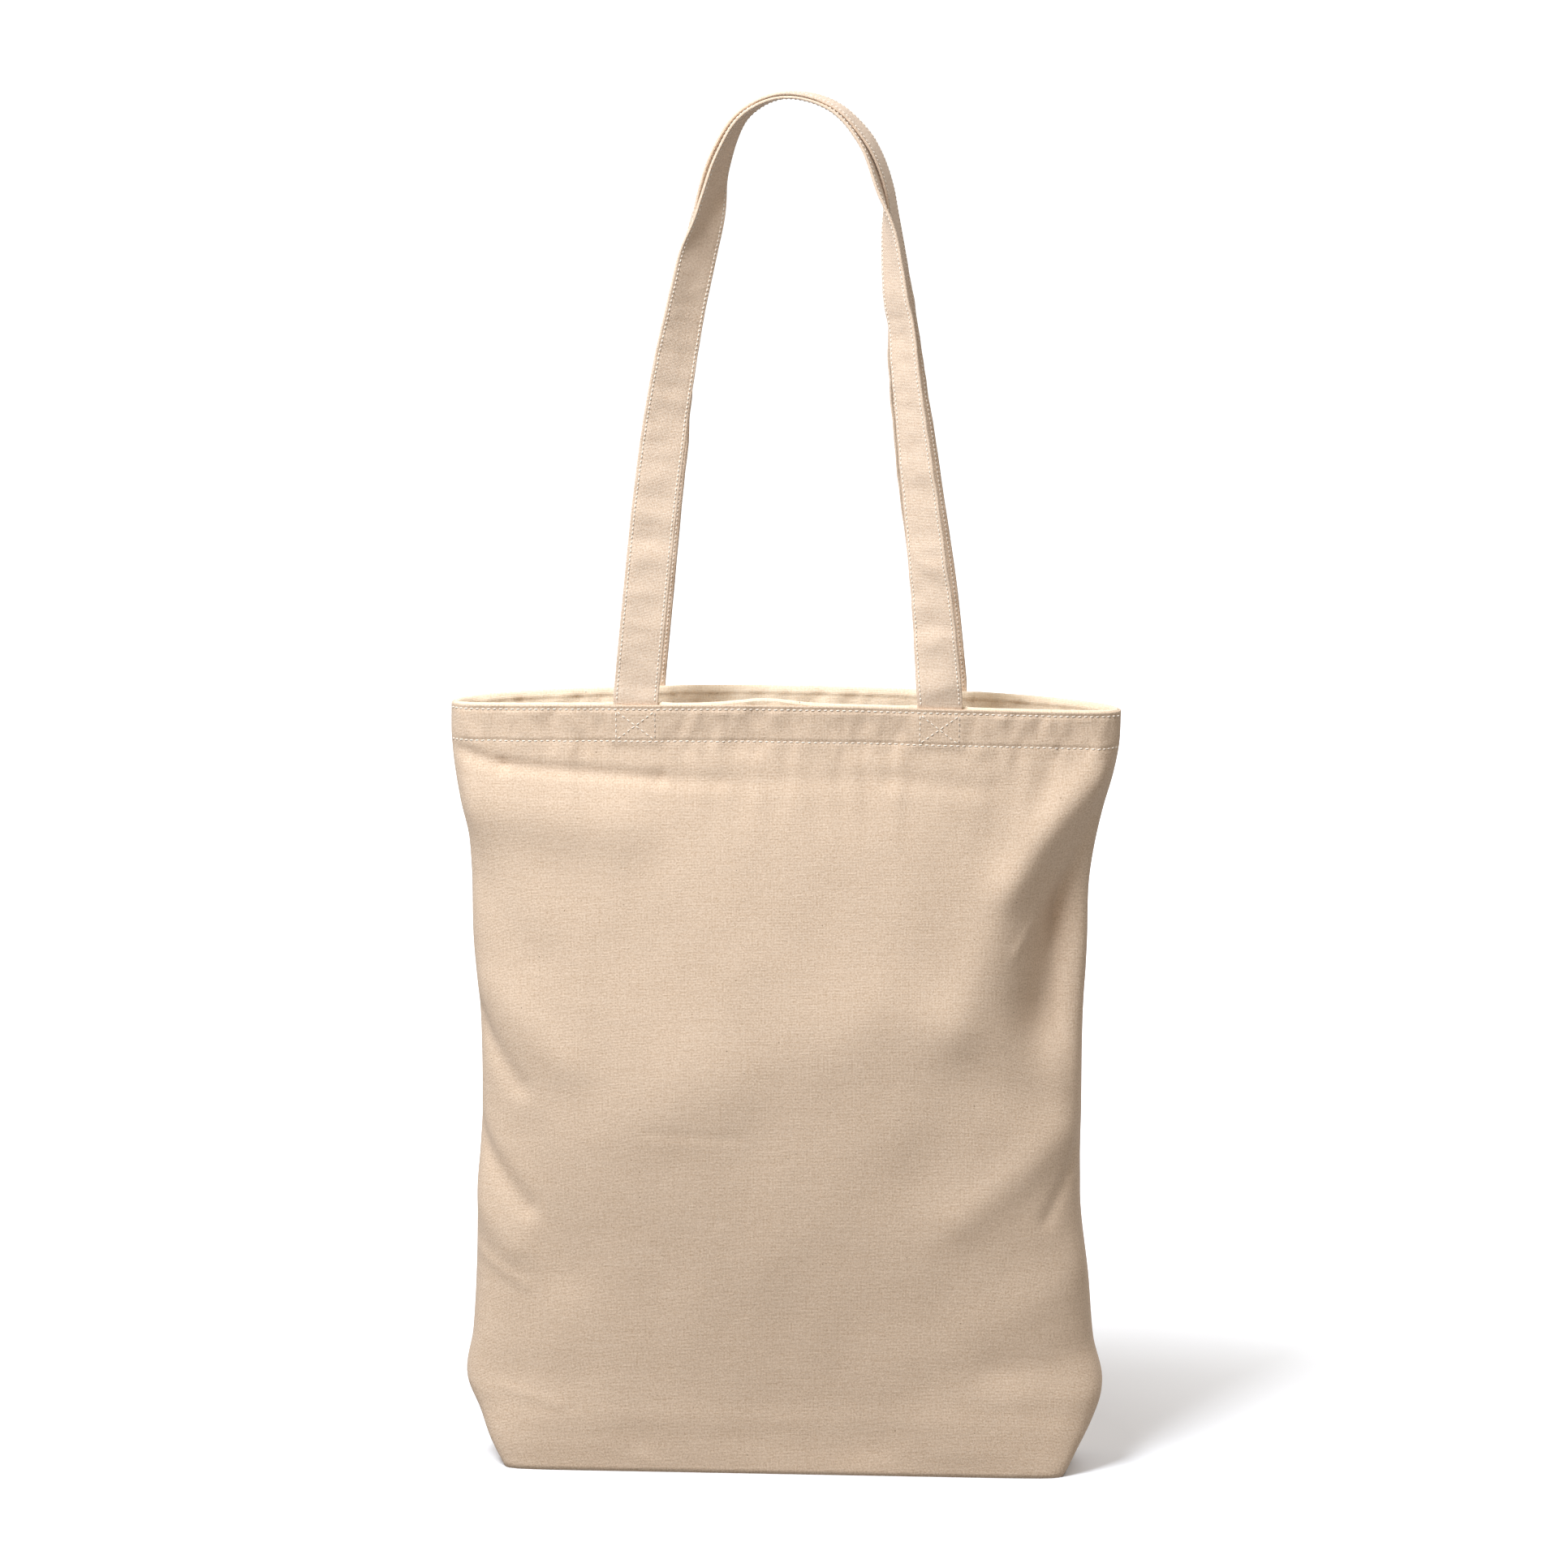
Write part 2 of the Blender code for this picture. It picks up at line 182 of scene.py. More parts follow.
# an allowance's outline, as shares of its width from the seam to the edge and of its thickness
SEAM_OUTLINE = ((-0.5, -0.4), (0.1, -0.5), (0.46, -0.45), (0.5, 0.0), (0.46, 0.45), (0.1, 0.5), (-0.5, 0.4))
SEAM_OUTLINE_STEP = 0.0022
OVERLOCK_PITCH = 0.0026
OVERLOCK_REACH = 0.0026
OVERLOCK_SAMPLES = 12
OVERLOCK_SWING, OVERLOCK_POWER, OVERLOCK_THREAD = 1.15, 0.5, 0.7
SIDE_SEAM_DROP = 0.001
SIDE_SEAM_ROWS, CORNER_SEAM_ROWS, BOTTOM_SEAM_ROWS = 130, 24, 110

# Bumps all over the panels: how far they stand out, their size, and their stretch up the cloth
PANEL_BUMPS = (
    (0.0016, 0.070, 0.8),
    (0.0006, 0.026, 0.7),
)
# Gathers below the hem and puckers in it, likewise, and where they set in and fade out
GATHER, GATHER_SIZE, GATHER_STRETCH = 0.0012, 0.010, 0.22
GATHER_FROM, GATHER_RISE = -0.006, 0.012
GATHER_FADE_FROM, GATHER_FADE = 0.008, 0.060
PUCKER, PUCKER_SIZE, PUCKER_STRETCH = 0.0017, 0.0100, 0.30
SMALL_PUCKER_SHARE, SMALL_PUCKER_SIZE, SMALL_PUCKER_STRETCH = 0.5, 0.0045, 0.4
PUCKER_RISE, PUCKER_FADE_FROM, PUCKER_FADE = 0.006, 0.001, 0.014
HELD_SHARE = 0.2  # how much of a pucker is left over a strap end
HELD_FROM, HELD_FADE = -0.002, 0.010
HEM_STEP, HEM_STEP_WIDTH = 0.0006, 0.0012
STRAP_STEP, STRAP_STEP_FADE = 0.0007, 0.0022
# rows of stitches press a groove: how far below the rim, and how deep
GROOVES = ((UPPER_STITCH_DROP, 0.00065), (LOWER_STITCH_DROP, 0.00075))
GROOVE_HALF_WIDTH = 0.0011
SEAM_HOLD, FLOOR_HOLD = 0.020, 0.016

# Bends of the straps: how far they stand out, their size, and their stretch across the strap
STRAP_BENDS = (
    (0.0017, 0.016, 0.5),
    (0.0005, 0.007, 0.6),
)
STRAP_SEED = 20.0
PANEL_SEED = 5.0

# Folds of the panels: a line on the cloth from (u, z) to (u, z), its half width and how far it stands out
FRONT_FOLDS = (
    # the crease under the hem
    (-0.186, 0.412, -0.152, 0.402, 0.0034, -0.0024),
    (-0.152, 0.402, -0.066, 0.395, 0.0034, -0.0024),
    (-0.064, 0.395, -0.034, 0.394, 0.0045, -0.0013),
    (-0.030, 0.394, 0.060, 0.396, 0.0050, -0.0006),
    (0.060, 0.396, 0.112, 0.392, 0.0055, -0.0009),
    (-0.180, 0.378, -0.090, 0.370, 0.0210, 0.0042),
    # the corner at the right, pushed in beyond a diagonal ridge
    (0.186, 0.365, 0.168, 0.318, 0.0200, -0.0060),
    (0.168, 0.318, 0.156, 0.270, 0.0240, -0.0125),
    (0.156, 0.270, 0.148, 0.225, 0.0220, -0.0050),
    (0.168, 0.402, 0.130, 0.338, 0.0110, 0.0030),
    (0.176, 0.398, 0.152, 0.372, 0.0160, 0.0036),
    (0.130, 0.338, 0.100, 0.262, 0.0150, 0.0028),
    (0.166, 0.350, 0.134, 0.300, 0.0035, 0.0010),
    # the slack cloth at the lower right
    (0.160, 0.196, 0.104, 0.150, 0.0120, 0.0020),
    (0.112, 0.222, 0.080, 0.175, 0.0240, -0.0022),
    (0.174, 0.185, 0.152, 0.148, 0.0045, -0.0014),
    (0.172, 0.120, 0.120, 0.088, 0.0150, 0.0014),
    (0.182, 0.072, 0.120, 0.062, 0.0100, -0.0010),
    (0.184, 0.046, 0.115, 0.048, 0.0110, 0.0010),
    # the slack cloth at the left
    (-0.178, 0.258, -0.148, 0.222, 0.0070, -0.0024),
    (-0.166, 0.275, -0.120, 0.236, 0.0130, 0.0018),
    (-0.182, 0.196, -0.142, 0.152, 0.0065, -0.0028),
    (-0.182, 0.162, -0.150, 0.128, 0.0110, 0.0022),
    (-0.140, 0.190, -0.122, 0.115, 0.0150, -0.0022),
    (-0.176, 0.124, -0.142, 0.106, 0.0028, 0.0008),
    (-0.178, 0.345, -0.138, 0.296, 0.0140, -0.0014),
    (-0.152, 0.046, -0.120, 0.038, 0.0025, 0.0005),
    # the crest of the belly and soft bends across it
    (-0.120, 0.190, -0.045, 0.222, 0.0260, 0.0012),
    (-0.045, 0.222, 0.060, 0.266, 0.0280, 0.0014),
    (0.060, 0.266, 0.096, 0.258, 0.0200, 0.0010),
    (-0.072, 0.199, -0.022, 0.196, 0.0022, -0.0004),
    (-0.060, 0.330, -0.020, 0.300, 0.0180, 0.0008),
    (-0.150, 0.031, 0.150, 0.030, 0.0080, 0.0006),
    (-0.078, 0.006, -0.060, 0.002, 0.0040, 0.0012),
)
BACK_FOLDS = (
    (-0.186, 0.402, -0.060, 0.392, 0.0050, -0.0014),
    (0.050, 0.394, 0.186, 0.405, 0.0050, -0.0015),
    (-0.176, 0.385, -0.118, 0.300, 0.0160, -0.0040),
    (-0.165, 0.398, -0.100, 0.290, 0.0120, 0.0022),
    (0.182, 0.268, 0.140, 0.222, 0.0080, -0.0024),
    (0.172, 0.282, 0.118, 0.232, 0.0120, 0.0022),
    (-0.184, 0.190, -0.140, 0.145, 0.0070, -0.0022),
    (-0.180, 0.160, -0.140, 0.120, 0.0110, 0.0022),
    (0.184, 0.170, 0.150, 0.130, 0.0100, 0.0022),
    (-0.060, 0.205, 0.080, 0.235, 0.0240, 0.0024),
    (-0.150, 0.030, 0.150, 0.031, 0.0080, 0.0007),
    (0.182, 0.070, 0.125, 0.062, 0.0090, -0.0012),
    (-0.182, 0.066, -0.125, 0.060, 0.0090, -0.0012),
)
FOLDS = {FRONT: FRONT_FOLDS, BACK: BACK_FOLDS}

# Camera
CAMERA_AZIMUTH, CAMERA_PITCH = math.radians(3.85), math.radians(11.75)
CAMERA_DISTANCE, CAMERA_HEIGHT, CAMERA_ASIDE = 5.0, 1.4263, -0.0009
CAMERA_LENS, CAMERA_SENSOR = 212.3, 36.0

# Light
WORLD_LIGHT = 0.42
WORLD_COLOUR = (1.07, 1.0, 0.92, 1.0)
# azimuth and elevation in degrees, distance, size, power
KEY_LIGHT = (33.0, 55.0, 2.3, 0.8, 61.0)
FILL_LIGHT = (205.0, 40.0, 2.6, 1.6, 26.0)
LIGHT_TARGET = (0.0, 0.0, 0.25)
LIGHT_COLOUR = (0.95, 1.0, 1.09)
FLOOR_SIZE = 40.0
FLOOR_WHITE, FLOOR_GREY = (0.93, 0.93, 0.93, 1.0), (0.35, 0.35, 0.35, 1.0)
FLOOR_GLOW = (0.0, 0.74)  # near the bag, and far from it
FLOOR_FADE = (0.20, 0.75)  # how far near and far are
GLOW_COLOUR = (0.97, 1.0, 1.03, 1.0)

# Canvas: how uneven it is, and how fine that is in noise cells per metre
YARN_WANDER, YARN_WANDER_SCALE = 0.0010, 60.0
YARN_ROUNDNESS = 0.6
SLUB_SCALE, SLUB_STEP = 55.0, 0.83  # along a yarn, and from one yarn to the next
CLOUDS, CLOUD_SCALE = 0.16, 28.0
MOTTLE, MOTTLE_SCALE = 0.24, 240.0
GRAIN, GRAIN_SCALE = 1.9, 950.0
SEED_SCALE, SEED_SIZE, SEED_RARITY, SEED_STRENGTH = 210.0, 0.13, 0.90, 0.75
SEED_EDGE_SCALE = 900.0
WEAVE_HEIGHT, GRAIN_HEIGHT = 0.00022, 0.00022
FUZZ_HEIGHT, FUZZ_SCALE = 0.00022, 330.0
DIMPLE_HEIGHT, DIMPLE_SCALE = 0.00035, 90.0

# Thread: how fast its ply turns, in radians per metre of it, and how deep it is
PLY_TURN, PLY_HEIGHT = 9000.0, 0.00008

# Colours, linear
CANVAS_LIGHT = (0.86, 0.675, 0.505, 1.0)
CANVAS_DARK = (0.54, 0.370, 0.230, 1.0)
# the straps' colours are lighter than the canvas's: painted light, for the light that shines through the
# free straps
STRAP_LIGHT = (0.90, 0.725, 0.560, 1.0)
STRAP_DARK = (0.62, 0.435, 0.285, 1.0)
# the facing's colours are lighter than the canvas's: painted light, for the light that shines through the
# cloth into the mouth
FACING_LIGHT = (0.97, 0.83, 0.64, 1.0)
FACING_DARK = (0.82, 0.63, 0.42, 1.0)
SEED = (0.16, 0.09, 0.045, 1.0)
THREAD_COLOUR = (0.97, 0.87, 0.74, 1.0)


# --- Numbers ---


def ease(t):
    """A soft step from 0 to 1 as t goes from 0 to 1."""
    t = np.clip(t, 0.0, 1.0)
    return t * t * (3 - 2 * t)


def bell(x):
    """A soft bump: 1 at 0, and almost 0 beyond 2."""
    return np.exp(-x * x)


def distances_along(path):
    """How far each point of a path lies along it."""
    return np.concatenate([[0.0], np.cumsum(np.linalg.norm(np.diff(path, axis=0), axis=1))])


def read_path(path, along, where):
    """Rows of values of a path, read between its points at other distances along it."""
    return np.stack([np.interp(where, along, column) for column in path.T], axis=-1)


def hermite(knots_at, knots, at):
    """Smooth curve through knots (rows of values) that lie at knots_at, read at many places."""
    knots_at, knots, at = (np.asarray(a, float) for a in (knots_at, knots, at))
    slopes = np.gradient(knots, knots_at, axis=0)
    i = np.clip(np.searchsorted(knots_at, at) - 1, 0, len(knots_at) - 2)
    span = (knots_at[i + 1] - knots_at[i])[:, None]
    t = (at - knots_at[i])[:, None] / span
    start, end = (1 + 2 * t) * (1 - t) ** 2, t * t * (3 - 2 * t)
    rise, fall = t * (1 - t) ** 2 * span, t * t * (t - 1) * span
    return start * knots[i] + end * knots[i + 1] + rise * slopes[i] + fall * slopes[i + 1]


def unit(vectors):
    return vectors / np.maximum(np.linalg.norm(vectors, axis=-1, keepdims=True), 1e-12)


def roughness_of(points, size):
    """Smooth noise, from -1 to 1, at an array of points; size is the size of its bumps."""
    flat = np.asarray(points, float).reshape(-1, 3) / size
    return np.array([noise.noise(Vector(p)) for p in flat]).reshape(np.shape(points)[:-1])


# --- The bag's surface ---


def body_surface(side, u, heights):
    """Points on the outside of the cloth at the grid of u (distance across the panel from its
    middle) and heights, without folds."""
    levels = [section[0] for section in BODY_SECTIONS]
    sections = hermite(levels, BODY_SECTIONS, np.clip(heights, 0.0, RIM))
    turn = np.linspace(0.0, math.pi / 2, OUTLINE_SAMPLES)
    points = np.zeros((len(heights), len(u), 3))
    for row, (_, left, right, depth, square) in enumerate(sections):
        for half_width, sign in ((left, LEFT), (right, RIGHT)):
            x = half_width * np.sin(turn) ** (2 / square)
            y = depth * np.cos(turn) ** (2 / square)
            along = distances_along(np.stack([x, y], axis=1))
            mine = (u < 0) if sign == LEFT else (u >= 0)
            at = np.abs(u[mine]) / HALF_CLOTH * along[-1]
            points[row, mine, 0] = sign * np.interp(at, along, x)
            points[row, mine, 1] = side * np.maximum(np.interp(at, along, y), SEAM_SLIT / 2)
    droop = CORNER_DROOP * np.outer((np.clip(heights, 0, RIM) / RIM) ** 2, (u / HALF_CLOTH) ** 2)
    points[..., 2] = np.asarray(heights)[:, None] - droop
    return points


def outward(side, u, heights):
    """Directions out of the cloth at the same grid."""
    step = NORMAL_STEP
    inside = np.clip(u, -HALF_CLOTH + step, HALF_CLOTH - step)
    level = np.clip(heights, step, RIM - step)
    across = body_surface(side, inside + step, level) - body_surface(side, inside - step, level)
    up = body_surface(side, inside, level + step) - body_surface(side, inside, level - step)
    return unit(np.cross(across, up) * -side)


def fold_height(folds, u, z):
    """How far the folds stand out, each one a soft stroke along its line, with soft ends."""
    total = np.zeros_like(u)
    for u1, z1, u2, z2, half_width, rise in folds:
        du, dz = u2 - u1, z2 - z1
        length = math.hypot(du, dz)
        along = ((u - u1) * du + (z - z1) * dz) / length**2
        off = ((u - u1) * dz - (z - z1) * du) / length
        past = np.maximum(np.maximum(-along, along - 1), 0.0) * length
        total += rise * bell(off / half_width) * bell(past / (1.2 * half_width))
    return total


def distance_from_straps(u):
    """Distance across the cloth from the middle of the nearer strap."""
    return np.minimum(np.abs(u - STRAP_AT[LEFT]), np.abs(u - STRAP_AT[RIGHT]))


def relief(side, u, heights):
    """How far the cloth stands out of the plain body at the grid: folds, hem, puckers, stitch grooves."""
    uu, zz = np.meshgrid(u, np.clip(heights, 0.0, RIM))
    places = np.stack([uu, zz, np.full_like(uu, PANEL_SEED + side)], axis=-1)

    def bumps(size, stretch):
        return roughness_of(places * (1.0, stretch, 1.0), size)

    out = fold_height(FOLDS[side], uu, zz)
    for height, size, stretch in PANEL_BUMPS:
        out += height * bumps(size, stretch)
    # the strap ends hold the cloth flat
    from_strap = distance_from_straps(uu) - STRAP_WIDTH / 2
    loose = HELD_SHARE + (1 - HELD_SHARE) * ease((from_strap - HELD_FROM) / HELD_FADE)
    # gathers hang from the lower stitch row and fade out down the panel
    below = RIM - LOWER_STITCH_DROP - zz
    hanging = ease((below - GATHER_FROM) / GATHER_RISE)
    hanging *= 1 - ease((below - GATHER_FADE_FROM) / GATHER_FADE)
    out += GATHER * loose * bumps(GATHER_SIZE, GATHER_STRETCH) * hanging
    # the hem is double, and stands out over the strap ends
    in_hem = ease((zz - (RIM - HEM_DEPTH) + HEM_STEP_WIDTH / 2) / HEM_STEP_WIDTH)
    out += HEM_STEP * in_hem
    out += STRAP_STEP * in_hem * (1 - ease(from_strap / STRAP_STEP_FADE))
    # the hem puckers between its rows of stitches, and this fades out below it
    puckers = bumps(PUCKER_SIZE, PUCKER_STRETCH)
    puckers += SMALL_PUCKER_SHARE * bumps(SMALL_PUCKER_SIZE, SMALL_PUCKER_STRETCH)
    puckers *= ease((RIM - zz) / PUCKER_RISE) * (1 - ease((below - PUCKER_FADE_FROM) / PUCKER_FADE))
    out += PUCKER * loose * puckers
    for drop, depth in GROOVES:
        out -= depth * bell((zz - (RIM - drop)) / GROOVE_HALF_WIDTH)
    # the seams hold the cloth at the sides, and the floor holds it at the foot
    out *= ease((HALF_CLOTH - np.abs(uu)) / SEAM_HOLD)
    return out * ease(zz / FLOOR_HOLD)


def hem_fold():
    """Heights and insets of a cloth edge folded over at the rim, from inside the fold out and down."""
    turns = np.linspace(math.pi, 0.0, FOLD_ROWS)
    top = RIM - FOLD_RADIUS
    heights = [top - LIP, top - LIP / 2]
    insets = [2 * FOLD_RADIUS] * 2
    heights += [top + FOLD_RADIUS * math.sin(t) for t in turns]
    insets += [FOLD_RADIUS * (1 - math.cos(t)) for t in turns]
    down = np.linspace(top, RIM - HEM_DEPTH, HEM_ROWS)[1:]
    return heights + list(down), insets + [0.0] * len(down)


# --- Meshes ---


def mesh_object(name, points, faces, uv=None, smooth=True):
    """A new object in the scene; uv holds a place on the cloth for each point, in metres."""
    mesh = bpy.data.meshes.new(name)
    mesh.from_pydata(np.asarray(points, float).tolist(), [], faces)
    if uv is not None:
        layer = mesh.uv_layers.new(name="cloth")
        corners = np.zeros(len(mesh.loops), int)
        mesh.loops.foreach_get("vertex_index", corners)
        layer.data.foreach_set("uv", np.asarray(uv, float)[corners].ravel())
    if smooth:
        mesh.shade_smooth()
    return placed(name, mesh)


def placed(name, data):
    """A new object that holds the data, put in the scene."""
    thing = bpy.data.objects.new(name, data)
    bpy.context.scene.collection.objects.link(thing)
    return thing


def grid_faces(rows, columns, flip=False, closed=False):
    """Faces of a grid of points, row by row; closed joins the last column to the first."""
    last = columns if closed else columns - 1
    r, c = np.meshgrid(np.arange(rows - 1), np.arange(last), indexing="ij")
    a, b = r * columns + c, r * columns + (c + 1) % columns
    faces = np.stack([a, b, b + columns, a + columns], axis=-1).reshape(-1, 4)
    return (faces[:, ::-1] if flip else faces).tolist()


def end_faces(rows, columns):
    """Faces that close the first and the last ring of a closed grid."""
    return [list(range(columns)), list(range((rows - 1) * columns, rows * columns))[::-1]]


def sheet_object(name, points, u, flip):
    """An open grid of points as a sheet of cloth with its thickness still to come."""
    rows, columns = points.shape[:2]
    uv = np.stack(np.meshgrid(u, distances_along(points[:, columns // 2])), axis=-1).reshape(-1, 2)
    return mesh_object(name, points.reshape(-1, 3), grid_faces(rows, columns, flip), uv)


def thicken(piece, offset):
    """Gives a sheet the cloth's thickness: offset -1 puts it behind the sheet, and 1 in front."""
    shell = piece.modifiers.new("thickness", "SOLIDIFY")
    shell.thickness = CLOTH
    shell.offset = offset
    shell.use_even_offset = False
    return piece


def finish_piece(piece, material, body="bag"):
    """Gives a piece its material and slot, and the body that it moves with unless it is blended."""
    piece.data.materials.append(material)
    if body:
        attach(piece, body)
    return piece


# --- Materials ---


class Nodes:
    """Short calls for building a material's node tree."""

    def __init__(self, name):
        self.material = bpy.data.materials.new(name)
        self.material.use_nodes = True
        self.tree = self.material.node_tree
        self.shader = self.tree.nodes["Principled BSDF"]

    def add(self, kind, settings=None, **inputs):
        """A new node with its inputs filled; i0, i1 and so on are inputs called by their number."""
        node = self.tree.nodes.new(kind)
        for key, value in (settings or {}).items():
            setattr(node, key, value)
        for key, value in inputs.items():
            self.plug(node.inputs[int(key[1:]) if key[0] == "i" and key[1:].isdigit() else key], value)
        return node

    def plug(self, socket, value):
        """Joins a socket to another one, or sets its value."""
        if isinstance(value, bpy.types.NodeSocket):
            self.tree.links.new(value, socket)
        else:
            socket.default_value = value

    def math(self, operation, a, b=0.0, c=0.0):
        return self.add("ShaderNodeMath", {"operation": operation}, i0=a, i1=b, i2=c).outputs[0]

    def times(self, a, b):
        return self.math("MULTIPLY", a, b)

    def plus(self, a, b):
        return self.math("ADD", a, b)

    def vary(self, value, amount, uneven):
        """value, raised and lowered by noise that lies around 0.5."""
        return self.math("MULTIPLY_ADD", uneven, amount, self.math("SUBTRACT", value, amount / 2))

    def mix(self, share, a, b):
        node = self.add("ShaderNodeMix", {"data_type": "RGBA"}, Factor=share)
        self.plug(node.inputs[6], a)
        self.plug(node.inputs[7], b)
        return node.outputs[2]

    def noise(self, vector, scale, detail=2.0):
        node = self.add("ShaderNodeTexNoise", Vector=vector, Scale=scale, Detail=detail)
        return node.outputs[0]

    def combine(self, x, y, z=0.0):
        return self.add("ShaderNodeCombineXYZ", X=x, Y=y, Z=z).outputs[0]

    def ramp(self, value, low, high):
        """value stretched so that low becomes 0 and high becomes 1."""
        node = self.add("ShaderNodeMapRange", {"clamp": True}, Value=value)
        self.plug(node.inputs["From Min"], low)
        self.plug(node.inputs["From Max"], high)
        return node.outputs[0]


def yarns(n, across, along, seed):
    """One set of parallel yarns: the wave that counts them, how round each is, and its slubs, which
    make it thicker in some places than in others."""
    count = n.math("DIVIDE", across, YARN)
    wave = n.math("SINE", n.times(count, math.pi))
    roundness = n.math("POWER", n.math("ABSOLUTE", wave), YARN_ROUNDNESS)
    slub = n.noise(n.combine(n.math("FLOOR", count), n.times(along, SLUB_SCALE), seed), SLUB_STEP, 3.0)
    return wave, roundness, slub


def plain_weave(n, place):
    """Height of the weave from 0 to 1, and the slub of the yarn that lies on top."""
    split = n.add("ShaderNodeSeparateXYZ", Vector=place)
    u, v = split.outputs[0], split.outputs[1]
    u = n.math("MULTIPLY_ADD", n.noise(place, YARN_WANDER_SCALE, 4.0), YARN_WANDER, u)
    strayed = n.combine(v, u, 3.0)
    v = n.math("MULTIPLY_ADD", n.noise(strayed, YARN_WANDER_SCALE, 4.0), YARN_WANDER, v)
    warp_wave, warp_round, warp_slub = yarns(n, u, v, 0.0)
    weft_wave, weft_round, weft_slub = yarns(n, v, u, 9.0)
    # warp and weft pass over each other in turn
    crossing = n.times(warp_wave, weft_wave)
    warp_over = n.math("MULTIPLY_ADD", crossing, 0.5, 0.5)
    weft_over = n.math("SUBTRACT", 1.0, warp_over)
    warp_high = n.times(n.times(warp_round, warp_over), n.plus(warp_slub, 0.5))
    weft_high = n.times(n.times(weft_round, weft_over), n.plus(weft_slub, 0.5))
    warp_on_top = n.math("GREATER_THAN", crossing, 0.0)
    weft_on_top = n.math("SUBTRACT", 1.0, warp_on_top)
    slub = n.plus(n.times(warp_slub, warp_on_top), n.times(weft_slub, weft_on_top))
    return n.math("MAXIMUM", warp_high, weft_high), slub


def with_seeds(n, place, colour):
    """The colour with pieces of cotton seed caught in the yarn."""
    cells = n.add("ShaderNodeTexVoronoi", {"feature": "F1"}, Vector=place, Scale=SEED_SCALE)
    size = n.times(n.noise(place, SEED_EDGE_SCALE), SEED_SIZE)
    near = n.math("LESS_THAN", cells.outputs["Distance"], size)
    chance = n.add("ShaderNodeSeparateColor", Color=cells.outputs["Color"]).outputs[0]
    rare = n.math("GREATER_THAN", chance, SEED_RARITY)
    return n.mix(n.times(n.times(near, rare), SEED_STRENGTH), colour, SEED)


def canvas_material(name, light, dark):
    """Unbleached plain-weave cotton: crossing yarns that vary along their length, seed specks."""
    n = Nodes(name)
    place = n.add("ShaderNodeUVMap", {"uv_map": "cloth"}).outputs[0]
    weave, slub = plain_weave(n, place)
    grain = n.noise(place, GRAIN_SCALE)
    # three parts of the tone come from the weave's height, which is painted shade: lighter on the crowns of
    # the yarns, darker at their sides and in the gaps between them; one part comes from the slubs
    tone = n.times(n.ramp(slub, 0.25, 0.75), 0.25)
    tone = n.math("MULTIPLY_ADD", n.ramp(weave, 0.1, 0.85), 0.75, tone)
    tone = n.vary(tone, CLOUDS, n.noise(place, CLOUD_SCALE, 3.0))
    tone = n.vary(tone, MOTTLE, n.noise(place, MOTTLE_SCALE, 3.0))
    tone = n.vary(tone, GRAIN, grain)
    colour = with_seeds(n, place, n.mix(n.ramp(tone, -0.1, 1.0), dark, light))
    n.plug(n.shader.inputs["Base Color"], colour)
    n.plug(n.shader.inputs["Roughness"], n.math("MULTIPLY_ADD", weave, -0.08, 0.95))
    n.shader.inputs["Specular IOR Level"].default_value = 0.25
    n.shader.inputs["Sheen Weight"].default_value = 0.10
    n.shader.inputs["Sheen Roughness"].default_value = 0.5
    height = n.times(n.noise(place, FUZZ_SCALE, 3.0), FUZZ_HEIGHT)
    height = n.math("MULTIPLY_ADD", n.noise(place, DIMPLE_SCALE), DIMPLE_HEIGHT, height)
    height = n.math("MULTIPLY_ADD", grain, GRAIN_HEIGHT, height)
    height = n.math("MULTIPLY_ADD", weave, WEAVE_HEIGHT, height)
    bump = n.add("ShaderNodeBump", Strength=0.8, Distance=1.0, Height=height)
    n.plug(n.shader.inputs["Normal"], bump.outputs[0])
    return n.material


def thread_material():
    """Cotton sewing thread, plied, a little glossier than the cloth."""
    n = Nodes("sewing_thread")
    place = n.add("ShaderNodeUVMap", {"uv_map": "cloth"}).outputs[0]
    split = n.add("ShaderNodeSeparateXYZ", Vector=place)
    along, around = split.outputs[0], split.outputs[1]
    slant = n.plus(n.times(along, PLY_TURN), n.times(around, 2 * math.pi))
    ply = n.math("MULTIPLY_ADD", n.math("SINE", slant), 0.5, 0.5)
    # the thread is darker in the grooves between its plies, which is painted shade, and its tone also
    # varies at random with the noise
    shade = n.math("MULTIPLY_ADD", n.noise(place, 700.0), 0.3, n.times(ply, 0.5))
    dark = tuple(c * 0.72 for c in THREAD_COLOUR[:3]) + (1.0,)
    n.plug(n.shader.inputs["Base Color"], n.mix(n.ramp(shade, 0.0, 0.55), dark, THREAD_COLOUR))
    n.plug(n.shader.inputs["Roughness"], n.math("MULTIPLY_ADD", ply, -0.15, 0.75))
    n.shader.inputs["Sheen Weight"].default_value = 0.15
    bump = n.add("ShaderNodeBump", Strength=0.7, Distance=1.0, Height=n.times(ply, PLY_HEIGHT))
    n.plug(n.shader.inputs["Normal"], bump.outputs[0])
    return n.material


# --- Panels and facings ---


def cloth_grid(side, u, heights, insets):
    """The grid with its folds, moved inwards by the insets, which is an array or one for each row."""
    insets = np.asarray(insets, float)
    if insets.ndim == 1:
        insets = np.repeat(insets[:, None], len(u), axis=1)
    points = body_surface(side, u, heights)
    rise = relief(side, u, heights) - insets
    points += outward(side, u, heights) * rise[..., None]
    points[..., 1] = side * np.maximum(side * points[..., 1], SEAM_SLIT / 2)
    return points


def base_grid(foot):
    """Rows from the panel's foot in under the bag to the bottom seam."""
    rows = []
    for share in np.linspace(0.0, 1.0, BASE_ROWS + 1)[1:]:
        row = foot.copy()
        row[:, 1] = foot[:, 1] * (1 - share) + np.sign(foot[:, 1]) * SEAM_SLIT / 2 * share
        row[:, 2] = CLOTH * 0.5 * math.sin(math.pi * share)
        rows.append(row)
    return np.array(rows)


